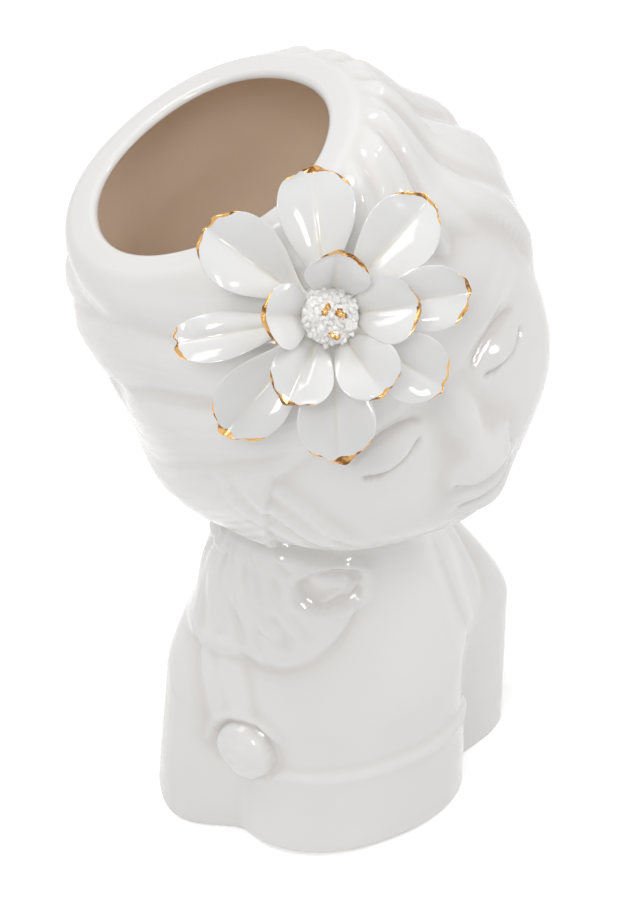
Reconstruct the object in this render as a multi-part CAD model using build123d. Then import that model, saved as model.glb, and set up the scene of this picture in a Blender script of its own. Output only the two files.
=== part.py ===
from build123d import *

import math
import os

import numpy as np

# Head planter: a hollow porcelain head, tilted on its bust, with a hand-built flower on the brow.
# Millimetres. +Z is up, the bust looks along -Y, and the origin is the middle of the flat base.
# The figure's left is +X. Angles are in degrees unless a name says otherwise.

# Head casting: half sizes from the head's centre, and where that centre is from the neck joint
HEAD_HALF_WIDTH = 64.0
HEAD_FRONT = 61.0
HEAD_BACK = 63.0
HEAD_CROWN = 70.0
HEAD_UNDER = 66.0
HEAD_ASIDE = -6.0
HEAD_AHEAD = 8.0
HEAD_OVER_NECK = 58.0
HEAD_TURN_ANGLE = 15.0
HEAD_TILT_ANGLE = 24.0
HEAD_SQUARENESS = 2.15
JAW_TAPER_SHARE = 0.16
CROWN_FLARE_LIMIT_SHARE = 0.3

# Mouth of the pot, cut through the crown on an axis that leans back from it
MOUTH_RADIUS = 36.4
MOUTH_DROP = 10.0
MOUTH_LEAN_ANGLE = 10.0
MOUTH_SHIFT = 2.5
LIP_WIDTH = 10.0
LIP_ROUND = 4.2
LIP_TURN_ANGLES = (55, 72, 90)

# Walls of both castings
WALL = 6.0
FLOOR = 7.0
FOOT_ROUND = 2.0
FOOT_TURN_ANGLES = (90, 0)

# Neck joint, where the two castings are luted together
NECK_RADIUS = 31.0
NECK_SIDE = -8.0
NECK_BACK = 6.0
NECK_HEIGHT = 127.0
NECK_LEAN_ANGLE = 11.5

# Bust casting: a chest set to its right, an arm at each side, the left shoulder raised
CHEST_HALF_WIDTH = 39.3
CHEST_DEPTH = 34.5
CHEST_SHIFT = 2.3
BACK_DEPTH = 38.0
CHEST_SQUARENESS = 2.3
LEFT_ARM_REACH = 25.7
RIGHT_ARM_REACH = 18.0
RIGHT_ARM_DRAFT = 4.0
ARM_ANGLE = 107.0
ARM_SPREAD_ANGLE = 24.0
SHOULDER_HEIGHT = 53.0
SHOULDER_SLOPE = 3.0
SHOULDER_CREST = 8.5
NECK_ROOT_DROP = 16.0
NECK_ROOT_FLARE = 12.0
NECK_WAIST_SHARE = 0.95
BODICE_HEIGHT = 33.0
BODICE_STEP = 1.6
BODICE_SOFTNESS = 5.0
BODICE_SIDE_ANGLE = 62.0
BODICE_FADE_ANGLE = 16.0

# Bunch of hair on the right of the neck. It swells from the neck, and its lower edge is a step that
# rises towards the front and fades at both sides
BUNCH_HEIGHT = 98.0
BUNCH_SWELL = 8.5
BUNCH_REACH = 19.0
BUNCH_ANGLE = -68.0
BUNCH_SPREAD_ANGLE = 46.0
BUNCH_STEP = 2.6
BUNCH_SOFTNESS = 6.0
BUNCH_LOW = 67.0
BUNCH_EDGE_RISE = 22.0
BUNCH_BACK_ANGLE = -118.0
BUNCH_BACK_FADE_ANGLE = 32.0
BUNCH_FRONT_ANGLE = -15.0
BUNCH_FRONT_FADE_ANGLE = 9.0
BUNCH_EDGE_START_ANGLE = -85.0
BUNCH_EDGE_SPAN_ANGLE = 74.0
BUNCH_TOP = 108.0
BUNCH_TOP_SOFTNESS = 14.0

# Soft swellings and hollows of the bust: the loop in the bunch, the lock that hangs from it, and the
# knot that ends the lock. For each one its angle and spread, and its height, reach and how proud it is
SWELLING_ANGLES = [(-33, 15), (-80, 9), (-71, 11.5)]
LOOP_HEIGHT = 102.0
LOOP_REACH = 5.0
LOOP_DEPTH = 1.8
HANGING_HEIGHT = 56.0
HANGING_REACH = 13.0
HANGING_PROUD = 1.7
KNOT_HEIGHT = 37.0
KNOT_REACH = 8.0
KNOT_PROUD = 7.5

# Relief of the face and jaw: how proud as a share of the head's half width, then the middle's
# azimuth and elevation, then the reach in azimuth and elevation. Azimuth is positive to the left.
# The first rows shape the cast wall itself, and the cavity follows them.
CAST_RELIEF_SHARES = [
    (0.14, 0, -50, 26, 18),
    (0.125, 36, -28, 26, 20),
    (0.125, -36, -28, 26, 20),
    (-0.12, -92, 20, 34, 24),
    (-0.10, 64, 40, 34, 20),
    (0.05, -58, -4, 18, 14),
]
FACE_RELIEF_SHARES = [
    (0.140, 0, -20, 7, 6.5),
    (0.070, 0, -9, 5.5, 9),
    (0.050, 7, -21.5, 4.5, 4.5),
    (0.050, -7, -21.5, 4.5, 4.5),
    (-0.062, 21, -2, 12, 8),
    (-0.062, -21, -2, 12, 8),
    (0.050, 22, -4.5, 9.5, 6),
    (0.050, -22, -4.5, 9.5, 6),
    (0.024, 20, 9, 14, 6),
    (0.024, -20, 9, 14, 6),
    (0.050, 0, -31.5, 11, 4.2),
    (0.050, 0, -39.5, 9.5, 4.4),
    (-0.036, 0, -35.5, 12, 2.2),
    (-0.034, 0, -46, 11, 4),
]

# Masses of the hair, in the same columns
HAIR_RELIEF_SHARES = [
    (-0.055, -112, 2, 22, 14),
    (0.06, -86, -24, 22, 14),
]

# Hair: its own thickness, the depth of its waves, where the hairline runs, how wide a lock is, how the
# locks fall as they go back, how they sway, and the one that sweeps under the right of the jaw
HAIR_THICKNESS = 2.2
HAIR_WAVE = 1.05
HAIRLINE_TOP_ANGLE = 40.0
HAIRLINE_FALL_ANGLE = 100.0
HAIRLINE_SIDE_ANGLE = 70.0
HAIRLINE_SOFT_ANGLE = 6.0
HAIR_LOCK_ANGLE = 19.0
HAIR_LOCK_START_ANGLE = 34.0
HAIR_BROW_ANGLE = 20.0
HAIR_FALL_SHARE = 0.16
HAIR_SWAY_ANGLE = 5.0
HAIR_CURL_ANGLE = 2.5
SWEPT_LOCK_ANGLES = (-53, -1)
SWEPT_LOCK_SLOPE_SHARE = 1.3
SWEPT_LOCK_WIDTH_ANGLE = 8.0
SWEPT_LOCK_END_ANGLES = (-72, -42)
SWEPT_LOCK_FADE_ANGLE = 12.0

# Flower: its place on the brow, under the lip, and the core that is luted to the head
FLOWER_AZIMUTH_ANGLE = -19.5
FLOWER_UNDER_LIP_ANGLE = 20.8
CORE_FOOT_RADIUS = 11.0
CORE_RADIUS = 8.0
CORE_WAIST_RADIUS = 5.5
CORE_STEP_HEIGHT = 7.5
CORE_HEIGHT = 13.6
SEAT_DEPTH = 1.3
SEAT_CLEARANCE = 0.2
BUTTON_RADIUS = 7.5
BUTTON_EDGE = 1.5
BUTTON_RISE = 5.0
GRAIN_RADIUS = 1.0
GRAIN_COUNT = 24
GILT_GRAINS = (2, 4, 6)

# Petals: length, width, thickness, and for each one its angle round the flower, then the shares of
# length and width it is made at and how steeply it rises
OUTER_PETAL_LENGTH = 33.0
OUTER_PETAL_WIDTH = 20.0
OUTER_PETAL_SEAT = 4.6
OUTER_PETAL_SAG_SHARE = 0.42
OUTER_PETAL_ANGLES = (94, 46, 7, -34, -88, -134, -172, 142)
OUTER_PETAL_SHARES = [
    (0.97, 1.05, 0.32),
    (1.05, 1.0, 0.32),
    (0.95, 0.9, 0.39),
    (0.9, 0.95, 0.32),
    (0.98, 1.05, 0.32),
    (1.06, 1.0, 0.32),
    (1.06, 0.78, 0.32),
    (1.02, 1.05, 0.39),
]
INNER_PETAL_LENGTH = 22.0
INNER_PETAL_WIDTH = 17.5
INNER_PETAL_SEAT = 9.2
INNER_PETAL_SAG_SHARE = 0.30
INNER_PETAL_ANGLES = (80, 5, -57, -119, 176)
INNER_PETAL_SHARES = [
    (0.88, 1.0, 1.15),
    (1.0, 1.05, 0.84),
    (1.05, 1.0, 0.78),
    (1.06, 1.0, 0.78),
    (0.88, 1.0, 1.05),
]
PETAL_ROOT_THICKNESS = 2.3
PETAL_EDGE_THICKNESS = 1.0
PETAL_GROOVE = 1.1
PETAL_CURL = 1.8
PETAL_BITE = 1.0
PETAL_CUP_SHARE = 0.24
PETAL_GROOVE_WIDTH_SHARE = 0.16
PETAL_CURL_START_SHARE = 0.72
PETAL_STATION_SHARES = (0, 0.1, 0.24, 0.4, 0.56, 0.72, 0.86, 0.96, 1)
PETAL_WIDTH_SHARES = (0.17, 0.22, 0.42, 0.7, 0.92, 1.0, 0.86, 0.56, 0.34)

# How finely the surfaces are sampled, and how far a cut runs past what it cuts
CUT_OVERRUN = 5.0
HEAD_RINGS = 36
HEAD_COLUMNS = 64
CAVITY_RINGS = 12
CAVITY_COLUMNS = 36
BUST_COLUMNS = 60
BUST_RINGS = (13, 12, 4)
BUST_CAVITY_RINGS = (9, 7, 3)
PETAL_COLUMNS = 9
FACE_DENSITY_SHARE = 0.4
FACE_RING_SHARE = 0.3
END_BLEND_SHARE = 0.14
FLOOR_GAP_SHARE = 1.5
QUARTER_TURN_ANGLE = 90.0
FROM_BASE = (Align.CENTER, Align.CENTER, Align.MIN)


def unit(vector):
    """The vector at length 1."""
    return vector / np.linalg.norm(vector)


def ease(share):
    """0 below 0, 1 above 1, and a smooth step between."""
    share = np.clip(share, 0, 1)
    return share * share * (3 - 2 * share)


def signed_turn(angle, middle):
    """How far an angle lies from a middle, from -180 to 180."""
    return (angle - middle + 180) % 360 - 180


# Frames of the head, the mouth and the neck joint

NECK_CENTRE = np.array([NECK_SIDE, NECK_BACK, NECK_HEIGHT])
HEAD_CENTRE = NECK_CENTRE + np.array([HEAD_ASIDE, -HEAD_AHEAD, HEAD_OVER_NECK])
UP = np.array([0.0, 0.0, 1.0])
TURN, TILT, LEAN = (math.radians(a) for a in (HEAD_TURN_ANGLE, HEAD_TILT_ANGLE, MOUTH_LEAN_ANGLE))
FACE_FORWARD = np.array([math.sin(TURN), -math.cos(TURN), 0.0])
LEVEL_LEFT = np.array([math.cos(TURN), math.sin(TURN), 0.0])
FACE_UP = math.cos(TILT) * UP - math.sin(TILT) * LEVEL_LEFT
FACE_LEFT = math.cos(TILT) * LEVEL_LEFT + math.sin(TILT) * UP
MOUTH_AXIS = math.cos(LEAN) * FACE_UP - math.sin(LEAN) * FACE_FORWARD
MOUTH_HEIGHT = HEAD_CROWN - MOUTH_DROP
MOUTH_CENTRE = HEAD_CENTRE + MOUTH_HEIGHT * MOUTH_AXIS - MOUTH_SHIFT * FACE_LEFT
NECK_AXIS = np.array([-math.sin(math.radians(NECK_LEAN_ANGLE)), 0.0, math.cos(math.radians(NECK_LEAN_ANGLE))])


def ring_directions(axis, forward, angles):
    """Directions square to an axis, at angles from forward towards the left."""
    ahead = unit(forward - (forward @ axis) * axis)
    left = np.cross(axis, ahead)
    return np.outer(np.cos(angles), ahead) + np.outer(np.sin(angles), left)


def circle_points(centre, axis, radius, angles):
    """Points of a circle about an axis, starting on the face's side."""
    return centre + radius * ring_directions(axis, FACE_FORWARD, angles)


def smooth_ring(points, angles):
    """A closed wire through points, with their angles as its parameters."""
    steps = [*angles, angles[0] + 2 * math.pi]
    return Wire([Edge.make_spline([Vector(*p) for p in points], periodic=True, parameters=steps)])


def loft_rings(rings, angles):
    """A solid through rings that share their angles."""
    return Solid.make_loft([smooth_ring(ring, angles) for ring in rings])


def face_angles(directions):
    """Azimuth and elevation of directions in the face's own frame."""
    left, ahead, above = (directions @ a for a in (FACE_LEFT, FACE_FORWARD, FACE_UP))
    return np.degrees(np.arctan2(left, ahead)), np.degrees(np.arcsin(np.clip(above, -1, 1)))


def relief(azimuth, elevation, rows):
    """The sum of soft bumps, each one a bell in azimuth times a bell in elevation."""
    level = np.cos(np.radians(elevation))
    total = np.zeros_like(azimuth)
    for share, at_azimuth, at_elevation, wide, high in rows:
        across = signed_turn(azimuth, at_azimuth) * level / wide
        along = (elevation - at_elevation) / high
        total += share * np.exp(-(across**2) - along**2)
    return HEAD_HALF_WIDTH * total


def hair_relief(directions):
    """Hair stands proud above the hairline and is drawn back round both sides to the nape. Its locks are
    waves of a flow angle: the elevation, falling as the hair goes back, and swaying."""
    azimuth, elevation = face_angles(directions)
    fall = (np.clip(np.abs(azimuth), 0, HAIRLINE_SIDE_ANGLE) / HAIRLINE_SIDE_ANGLE) ** 3
    hairline = HAIRLINE_TOP_ANGLE - HAIRLINE_FALL_ANGLE * fall
    cover = ease((elevation - hairline) / HAIRLINE_SOFT_ANGLE + 0.5)
    turn = np.radians(azimuth + elevation)
    sway = HAIR_SWAY_ANGLE * np.sin(2 * turn) + HAIR_CURL_ANGLE * np.sin(3 * turn + 1)
    flow = elevation + HAIR_FALL_SHARE * np.hypot(azimuth, HAIR_BROW_ANGLE) + sway
    wave = np.sin(2 * math.pi * flow / HAIR_LOCK_ANGLE + math.radians(HAIR_LOCK_START_ANGLE))
    return np.maximum(cover * (HAIR_THICKNESS + HAIR_WAVE * wave), swept_lock(azimuth, elevation))


def swept_lock(azimuth, elevation):
    """The lock that leaves the hairline and sweeps under the right of the jaw: a bell across a slant."""
    at_azimuth, at_elevation = SWEPT_LOCK_ANGLES
    start, end = SWEPT_LOCK_END_ANGLES
    across = elevation - at_elevation + SWEPT_LOCK_SLOPE_SHARE * (azimuth - at_azimuth)
    ends = ease((azimuth - start) / SWEPT_LOCK_FADE_ANGLE) * ease(1 - (azimuth - end) / SWEPT_LOCK_FADE_ANGLE)
    return HAIR_THICKNESS * np.exp(-((across / SWEPT_LOCK_WIDTH_ANGLE) ** 2)) * ends


def cast_radius(directions):
    """Radius of the plain cast head: a superellipsoid that narrows to the jaw, with chin and cheeks."""
    left, ahead, above = (directions @ a for a in (FACE_LEFT, FACE_FORWARD, FACE_UP))
    half_width = HEAD_HALF_WIDTH * (1 + JAW_TAPER_SHARE * np.clip(above, -1, CROWN_FLARE_LIMIT_SHARE))
    half_depth = np.where(ahead > 0, HEAD_FRONT, HEAD_BACK)
    half_height = np.where(above > 0, HEAD_CROWN, HEAD_UNDER)
    sides = (np.abs(left) / half_width, np.abs(ahead) / half_depth, np.abs(above) / half_height)
    plain = sum(side**HEAD_SQUARENESS for side in sides) ** (-1 / HEAD_SQUARENESS)
    return plain + relief(*face_angles(directions), CAST_RELIEF_SHARES)


def carved_radius(directions):
    """Radius of the head's outside, with face and hair."""
    azimuth, elevation = face_angles(directions)
    carved = relief(azimuth, elevation, FACE_RELIEF_SHARES + HAIR_RELIEF_SHARES)
    return cast_radius(directions) + carved + hair_relief(directions)


def vessel_rings(low_ring, high_ring, angles, shares, radius_of, inset):
    """Rings between two flat end rings. Directions bow out over the head's side from one end to the
    other, and each radius eases into the end rings."""
    low, high = low_ring - HEAD_CENTRE, high_ring - HEAD_CENTRE
    low_radius, high_radius = (np.linalg.norm(p, axis=1) for p in (low, high))
    side = ring_directions(MOUTH_AXIS, FACE_FORWARD, angles)
    rings = []
    for share in shares:
        blend = (
            (1 - share) ** 2 * low / low_radius[:, None]
            + 2 * share * (1 - share) * side
            + share**2 * high / high_radius[:, None]
        )
        directions = blend / np.linalg.norm(blend, axis=1)[:, None]
        near_low = 1 - ease(share / END_BLEND_SHARE)
        near_high = ease((share - 1 + END_BLEND_SHARE) / END_BLEND_SHARE)
        middle = (radius_of(directions) - inset) * (1 - near_low - near_high)
        radius = middle + low_radius * near_low + high_radius * near_high
        rings.append(HEAD_CENTRE + radius[:, None] * directions)
    return rings


def ring_angles(columns, density):
    """Angles round a ring in radians, closer together in front by the density share."""
    even = np.linspace(-math.pi, math.pi, columns, endpoint=False)
    return even - density * np.sin(even)


def ring_shares():
    """Shares of the way from neck to mouth, closer together at the face."""
    even = np.linspace(0, 1, HEAD_RINGS)
    sway = np.sin(2 * math.pi * (even - FACE_RING_SHARE)) - math.sin(-2 * math.pi * FACE_RING_SHARE)
    return even - FACE_DENSITY_SHARE * sway / (2 * math.pi)


def lip_rings(angles):
    """Rings that round the lip's outer edge over from the head's slope, up to the mouth's plane."""
    rings = []
    for turn in LIP_TURN_ANGLES:
        inward, rise = 1 - math.cos(math.radians(turn)), math.sin(math.radians(turn))
        centre = MOUTH_CENTRE - LIP_ROUND * (1 - rise) * MOUTH_AXIS
        rings.append(circle_points(centre, MOUTH_AXIS, MOUTH_RADIUS + LIP_WIDTH - LIP_ROUND * inward, angles))
    return rings


def lip_flare():
    """The cutter that rounds the lip's inner edge."""
    wide, tall = MOUTH_RADIUS + LIP_ROUND, CUT_OVERRUN
    sides = Polyline((MOUTH_RADIUS, -LIP_ROUND), (0, -LIP_ROUND), (0, tall), (wide, tall), (wide, 0))
    turn = CenterArc((wide, -LIP_ROUND), LIP_ROUND, QUARTER_TURN_ANGLE, QUARTER_TURN_ANGLE)
    flare = revolve(Plane.XZ * make_face([sides, turn]), Axis.Z)
    return Plane(origin=Vector(*MOUTH_CENTRE), z_dir=Vector(*MOUTH_AXIS)).location * flare


def head_shell():
    """The head casting: outside less cavity, open at the mouth and at the neck joint."""
    angles = ring_angles(HEAD_COLUMNS, FACE_DENSITY_SHARE)
    joint = circle_points(NECK_CENTRE, NECK_AXIS, NECK_RADIUS, angles)
    lip = lip_rings(angles)
    rings = vessel_rings(joint, lip[0], angles, ring_shares(), carved_radius, 0)
    outside = loft_rings([*rings, *lip[1:]], angles)
    return outside - head_cavity() - lip_flare() - flower_seat()


def head_cavity():
    """The hollow inside the head, run past both ends for the cut."""
    angles = ring_angles(CAVITY_COLUMNS, 0)
    throat = circle_points(NECK_CENTRE, NECK_AXIS, NECK_RADIUS - WALL, angles)
    mouth = circle_points(MOUTH_CENTRE, MOUTH_AXIS, MOUTH_RADIUS, angles)
    shares = np.linspace(0, 1, CAVITY_RINGS)
    rings = vessel_rings(throat, mouth, angles, shares, cast_radius, WALL)
    below, above = throat - CUT_OVERRUN * NECK_AXIS, mouth + CUT_OVERRUN * MOUTH_AXIS
    return loft_rings([below, *rings, above], angles)


# Bust


def arm_share(angles, side):
    """How much of an arm there is at each angle: a bell with a flat top and steep sides."""
    return np.exp(-((signed_turn(np.degrees(angles), side * ARM_ANGLE) / ARM_SPREAD_ANGLE) ** 4))


def bust_outline(angles):
    """Radius of the bust at its base: a squarish chest and an arm at each side."""
    ahead, aside = np.cos(angles), np.sin(angles)
    depth = np.where(ahead > 0, CHEST_DEPTH, BACK_DEPTH)
    sides = (np.abs(aside) / CHEST_HALF_WIDTH, np.abs(ahead) / depth)
    chest = sum(side**CHEST_SQUARENESS for side in sides) ** (-1 / CHEST_SQUARENESS)
    arms = LEFT_ARM_REACH * arm_share(angles, 1) + RIGHT_ARM_REACH * arm_share(angles, -1)
    return chest - CHEST_SHIFT * aside + arms


def bust_rings(angles, inset, counts):
    """Rings from the base to the neck joint: upright sides, then a Bezier over the shoulder to the neck.
    The counts are how many rings the sides, the shoulder and the neck have."""
    sides, over, above = (np.linspace(0, 1, count) for count in counts)
    outward = np.column_stack([np.sin(angles), -np.cos(angles), np.zeros_like(angles)])
    around = angles - TURN
    shoulders = SHOULDER_HEIGHT + SHOULDER_SLOPE * np.sin(angles)
    in_front = 1 - ease((np.abs(np.degrees(angles)) - BODICE_SIDE_ANGLE) / BODICE_FADE_ANGLE)

    def side_ring(height, drawn_in=0):
        draft = RIGHT_ARM_DRAFT * arm_share(angles, -1) * height / shoulders
        bodice = BODICE_STEP * ease((BODICE_HEIGHT - height) / BODICE_SOFTNESS + 0.5) * in_front
        radius = bust_outline(angles) - draft + bodice - inset - drawn_in
        return outward * radius[:, None] + np.outer(np.broadcast_to(height, radius.shape), UP)

    joint = circle_points(NECK_CENTRE, NECK_AXIS, NECK_RADIUS - inset, around)
    drop = NECK_ROOT_DROP * NECK_AXIS
    root = circle_points(NECK_CENTRE - drop, NECK_AXIS, NECK_WAIST_SHARE * (NECK_RADIUS - inset), around)
    shoulder = side_ring(shoulders)
    pull = (shoulder + SHOULDER_CREST * UP, root - NECK_ROOT_FLARE * UP)
    foot = [math.radians(turn) for turn in FOOT_TURN_ANGLES]
    rings = [side_ring(FOOT_ROUND * (1 - math.sin(a)), FOOT_ROUND * (1 - math.cos(a))) for a in foot]
    rings += [side_ring(shoulders * share) for share in sides[1:-1]]
    for share in over:
        rest = 1 - share
        rings.append(
            rest**3 * shoulder
            + 3 * share * rest**2 * pull[0]
            + 3 * share**2 * rest * pull[1]
            + share**3 * root
        )
    rings += [root + share * (joint - root) for share in above[1:]]
    return rings, outward


def bunch_relief(turn, height):
    """The bunch of hair: a soft swell from the neck, and a step at its lower edge."""
    climb = np.clip((turn - BUNCH_EDGE_START_ANGLE) / BUNCH_EDGE_SPAN_ANGLE, 0, 1)
    edge = BUNCH_LOW + BUNCH_EDGE_RISE * climb**3
    back = ease((turn - BUNCH_BACK_ANGLE) / BUNCH_BACK_FADE_ANGLE)
    front = 1 - ease((turn - BUNCH_FRONT_ANGLE) / BUNCH_FRONT_FADE_ANGLE)
    step = BUNCH_STEP * ease((height - edge) / BUNCH_SOFTNESS) * back * front
    swell = swelling(turn, height, (BUNCH_ANGLE, BUNCH_SPREAD_ANGLE), BUNCH_HEIGHT, BUNCH_REACH, BUNCH_SWELL)
    return (step + swell) * (1 - ease((height - BUNCH_TOP) / BUNCH_TOP_SOFTNESS))


def swelling(turn, height, angles, level, reach, proud):
    """How far a soft swelling on the bust stands proud, by angle round it and by height."""
    angle, spread = angles
    return proud * np.exp(-((signed_turn(turn, angle) / spread) ** 2) - ((height - level) / reach) ** 2)


def bust_relief(turn, height):
    """Relief of the bust: the bunch, the loop in it, the lock that hangs from it, and the knot."""
    loop, hanging, knot = SWELLING_ANGLES
    return (
        bunch_relief(turn, height)
        - swelling(turn, height, loop, LOOP_HEIGHT, LOOP_REACH, LOOP_DEPTH)
        + swelling(turn, height, hanging, HANGING_HEIGHT, HANGING_REACH, HANGING_PROUD)
        + swelling(turn, height, knot, KNOT_HEIGHT, KNOT_REACH, KNOT_PROUD)
    )


def bust_shell():
    """The bust casting: outside less hollow, with a flat base and an open neck."""
    angles = ring_angles(BUST_COLUMNS, 0)
    rings, outward = bust_rings(angles, 0, BUST_RINGS)
    turn = np.degrees(angles)
    carved = [ring + outward * bust_relief(turn, ring[:, 2])[:, None] for ring in rings[1:-1]]
    inside_angles = ring_angles(CAVITY_COLUMNS, 0)
    inner, _ = bust_rings(inside_angles, WALL, BUST_CAVITY_RINGS)
    upper = [ring for ring in inner if ring[:, 2].min() > FLOOR_GAP_SHARE * FLOOR]
    hollow = [inner[0] + FLOOR * UP, *upper, inner[-1] + CUT_OVERRUN * NECK_AXIS]
    return loft_rings([rings[0], *carved, rings[-1]], angles) - loft_rings(hollow, inside_angles)


# Flower


def flower_plane():
    """Where the flower sits: on the brow, at an angle under the lip's front edge, facing out of the head."""
    lip_spread = math.degrees(math.atan2(MOUTH_RADIUS + LIP_WIDTH, MOUTH_HEIGHT))
    lip = QUARTER_TURN_ANGLE + MOUTH_LEAN_ANGLE - lip_spread
    azimuth, elevation = math.radians(FLOWER_AZIMUTH_ANGLE), math.radians(lip - FLOWER_UNDER_LIP_ANGLE)
    level = math.cos(azimuth) * FACE_FORWARD + math.sin(azimuth) * FACE_LEFT
    out = math.cos(elevation) * level + math.sin(elevation) * FACE_UP
    seat = HEAD_CENTRE + carved_radius(out[None])[0] * out
    return Plane(origin=Vector(*seat), x_dir=Vector(*np.cross(UP, out)), z_dir=Vector(*out))


def flower_seat():
    """The shallow flat recess in the brow that takes the flower's core."""
    recess = Cylinder(CORE_FOOT_RADIUS + SEAT_CLEARANCE, SEAT_DEPTH + CUT_OVERRUN, align=FROM_BASE)
    return flower_plane().location * Pos(Z=-SEAT_DEPTH) * recess


def flower_core():
    """The turned pad that carries the petals: a foot on the head, a seat and a waist."""
    profile = Polyline(
        (0, -SEAT_DEPTH),
        (CORE_FOOT_RADIUS, -SEAT_DEPTH),
        (CORE_FOOT_RADIUS, SEAT_DEPTH),
        (CORE_RADIUS, CORE_STEP_HEIGHT / 2),
        (CORE_RADIUS, CORE_STEP_HEIGHT),
        (CORE_WAIST_RADIUS, INNER_PETAL_SEAT),
        (CORE_WAIST_RADIUS, CORE_HEIGHT),
        (0, CORE_HEIGHT),
        close=True,
    )
    return revolve(Plane.XZ * make_face(profile), Axis.Z)


def flower_button():
    """The domed button on top of the core."""
    brim, crest = CORE_HEIGHT + BUTTON_EDGE, CORE_HEIGHT + BUTTON_EDGE + BUTTON_RISE
    sides = Polyline((0, crest), (0, CORE_HEIGHT), (BUTTON_RADIUS, CORE_HEIGHT), (BUTTON_RADIUS, brim))
    start = math.degrees(math.atan2(dome_radius() - BUTTON_RISE, BUTTON_RADIUS))
    dome = CenterArc((0, crest - dome_radius()), dome_radius(), start, QUARTER_TURN_ANGLE - start)
    return revolve(Plane.XZ * make_face([sides, dome]), Axis.Z)


def dome_radius():
    """Radius of the ball that the button's dome is a cap of."""
    return (BUTTON_RADIUS**2 + BUTTON_RISE**2) / (2 * BUTTON_RISE)


def grains(button):
    """Small grains in a sunflower spiral over the button, each one cut to sit on the dome."""
    solids = []
    reach = BUTTON_RADIUS - GRAIN_RADIUS
    for k in range(GRAIN_COUNT):
        radius = reach * math.sqrt((k + 0.5) / GRAIN_COUNT)
        turn = k * math.pi * (3 - math.sqrt(5))
        sunk = dome_radius() - math.sqrt(dome_radius() ** 2 - radius**2)
        height = CORE_HEIGHT + BUTTON_EDGE + BUTTON_RISE - sunk
        at = (radius * math.cos(turn), radius * math.sin(turn), height)
        solids.append((Pos(*at) * Sphere(GRAIN_RADIUS)) - button)
    return solids


def petal(length, width, seat, root, lift, sag):
    """One petal along +X: thin sections across it, cupped, grooved along the middle, curled at the tip."""
    across = np.linspace(-1, 1, PETAL_COLUMNS)
    sections = []
    for share, width_share in zip(PETAL_STATION_SHARES, PETAL_WIDTH_SHARES):
        half = width / 2 * width_share
        curl = PETAL_CURL * ease((share - PETAL_CURL_START_SHARE) / (1 - PETAL_CURL_START_SHARE))
        middle = seat + length * (lift * share - sag * share**2) + curl
        groove = PETAL_GROOVE * ease(share / PETAL_CURL_START_SHARE)
        cup = PETAL_CUP_SHARE * half * across**2
        dip = groove * np.exp(-((across / PETAL_GROOVE_WIDTH_SHARE) ** 2))
        skin = middle + cup - dip
        core = PETAL_ROOT_THICKNESS - PETAL_EDGE_THICKNESS
        thickness = PETAL_EDGE_THICKNESS + core * (1 - across**2) * (1 - share / 2)
        reach = root + length * share

        def points(heights):
            return [Vector(reach, y, z) for y, z in zip(half * across, heights)]

        top, bottom = points(skin + thickness / 2), points(skin - thickness / 2)[::-1]
        edges = [
            Edge.make_spline(top, parameters=list(across)),
            Edge.make_line(top[-1], bottom[0]),
            Edge.make_spline(bottom, parameters=list(across)),
            Edge.make_line(bottom[-1], top[0]),
        ]
        sections.append(Wire(edges))
    return Solid.make_loft(sections)


def petals(core):
    """Every petal, named, cut to sit on the core."""
    outer = (OUTER_PETAL_LENGTH, OUTER_PETAL_WIDTH, OUTER_PETAL_SEAT, CORE_RADIUS - PETAL_BITE)
    inner = (INNER_PETAL_LENGTH, INNER_PETAL_WIDTH, INNER_PETAL_SEAT, CORE_WAIST_RADIUS - PETAL_BITE)
    whorls = [
        ("outer", outer, OUTER_PETAL_SAG_SHARE, OUTER_PETAL_ANGLES, OUTER_PETAL_SHARES),
        ("inner", inner, INNER_PETAL_SAG_SHARE, INNER_PETAL_ANGLES, INNER_PETAL_SHARES),
    ]
    made = {}
    for whorl, (length, width, seat, root), sag, turns, shares in whorls:
        for number, (turn, (long, wide, lift)) in enumerate(zip(turns, shares), 1):
            one = petal(length * long, width * wide, seat, root, lift, sag)
            made[f"petal_{whorl}_{number}"] = (Rot(Z=turn) * one) - core
    return made


def main():
    os.makedirs("parts", exist_ok=True)
    core, button = flower_core(), flower_button()
    on_brow = flower_plane().location
    beads = grains(button)
    gilt = [beads[k] for k in GILT_GRAINS]
    plain = [b for k, b in enumerate(beads) if k not in GILT_GRAINS]
    flower = {
        "flower_core": core,
        "flower_button": button,
        "stamen_grains": Compound(children=plain),
        "gilt_grains": Compound(children=gilt),
        **petals(core),
    }
    nodes = {"head_shell": head_shell(), "bust_shell": bust_shell()}
    nodes.update({name: on_brow * piece for name, piece in flower.items()})
    for name, piece in nodes.items():
        export_step(piece, f"parts/{name}.step")


main()
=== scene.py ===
import math

import bpy
import numpy as np
from bpy.props import FloatProperty, FloatVectorProperty, IntProperty, PointerProperty, StringProperty
from bpy.types import Operator, Panel, PropertyGroup
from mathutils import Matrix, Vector


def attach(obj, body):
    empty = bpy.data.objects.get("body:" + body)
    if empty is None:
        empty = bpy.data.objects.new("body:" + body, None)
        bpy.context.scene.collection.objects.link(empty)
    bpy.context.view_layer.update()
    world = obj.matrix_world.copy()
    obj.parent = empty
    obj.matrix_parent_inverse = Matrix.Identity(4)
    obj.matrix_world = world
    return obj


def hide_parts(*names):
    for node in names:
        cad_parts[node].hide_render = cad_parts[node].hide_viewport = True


bl_info = {
    "name": "Head planter",
    "version": (1, 0, 0),
    "blender": (4, 5, 0),
    "location": "View3D > Sidebar > Planter",
    "description": "A glazed head planter with a hand-built flower, and the studio it is shown in",
    "category": "Object",
}

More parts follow.
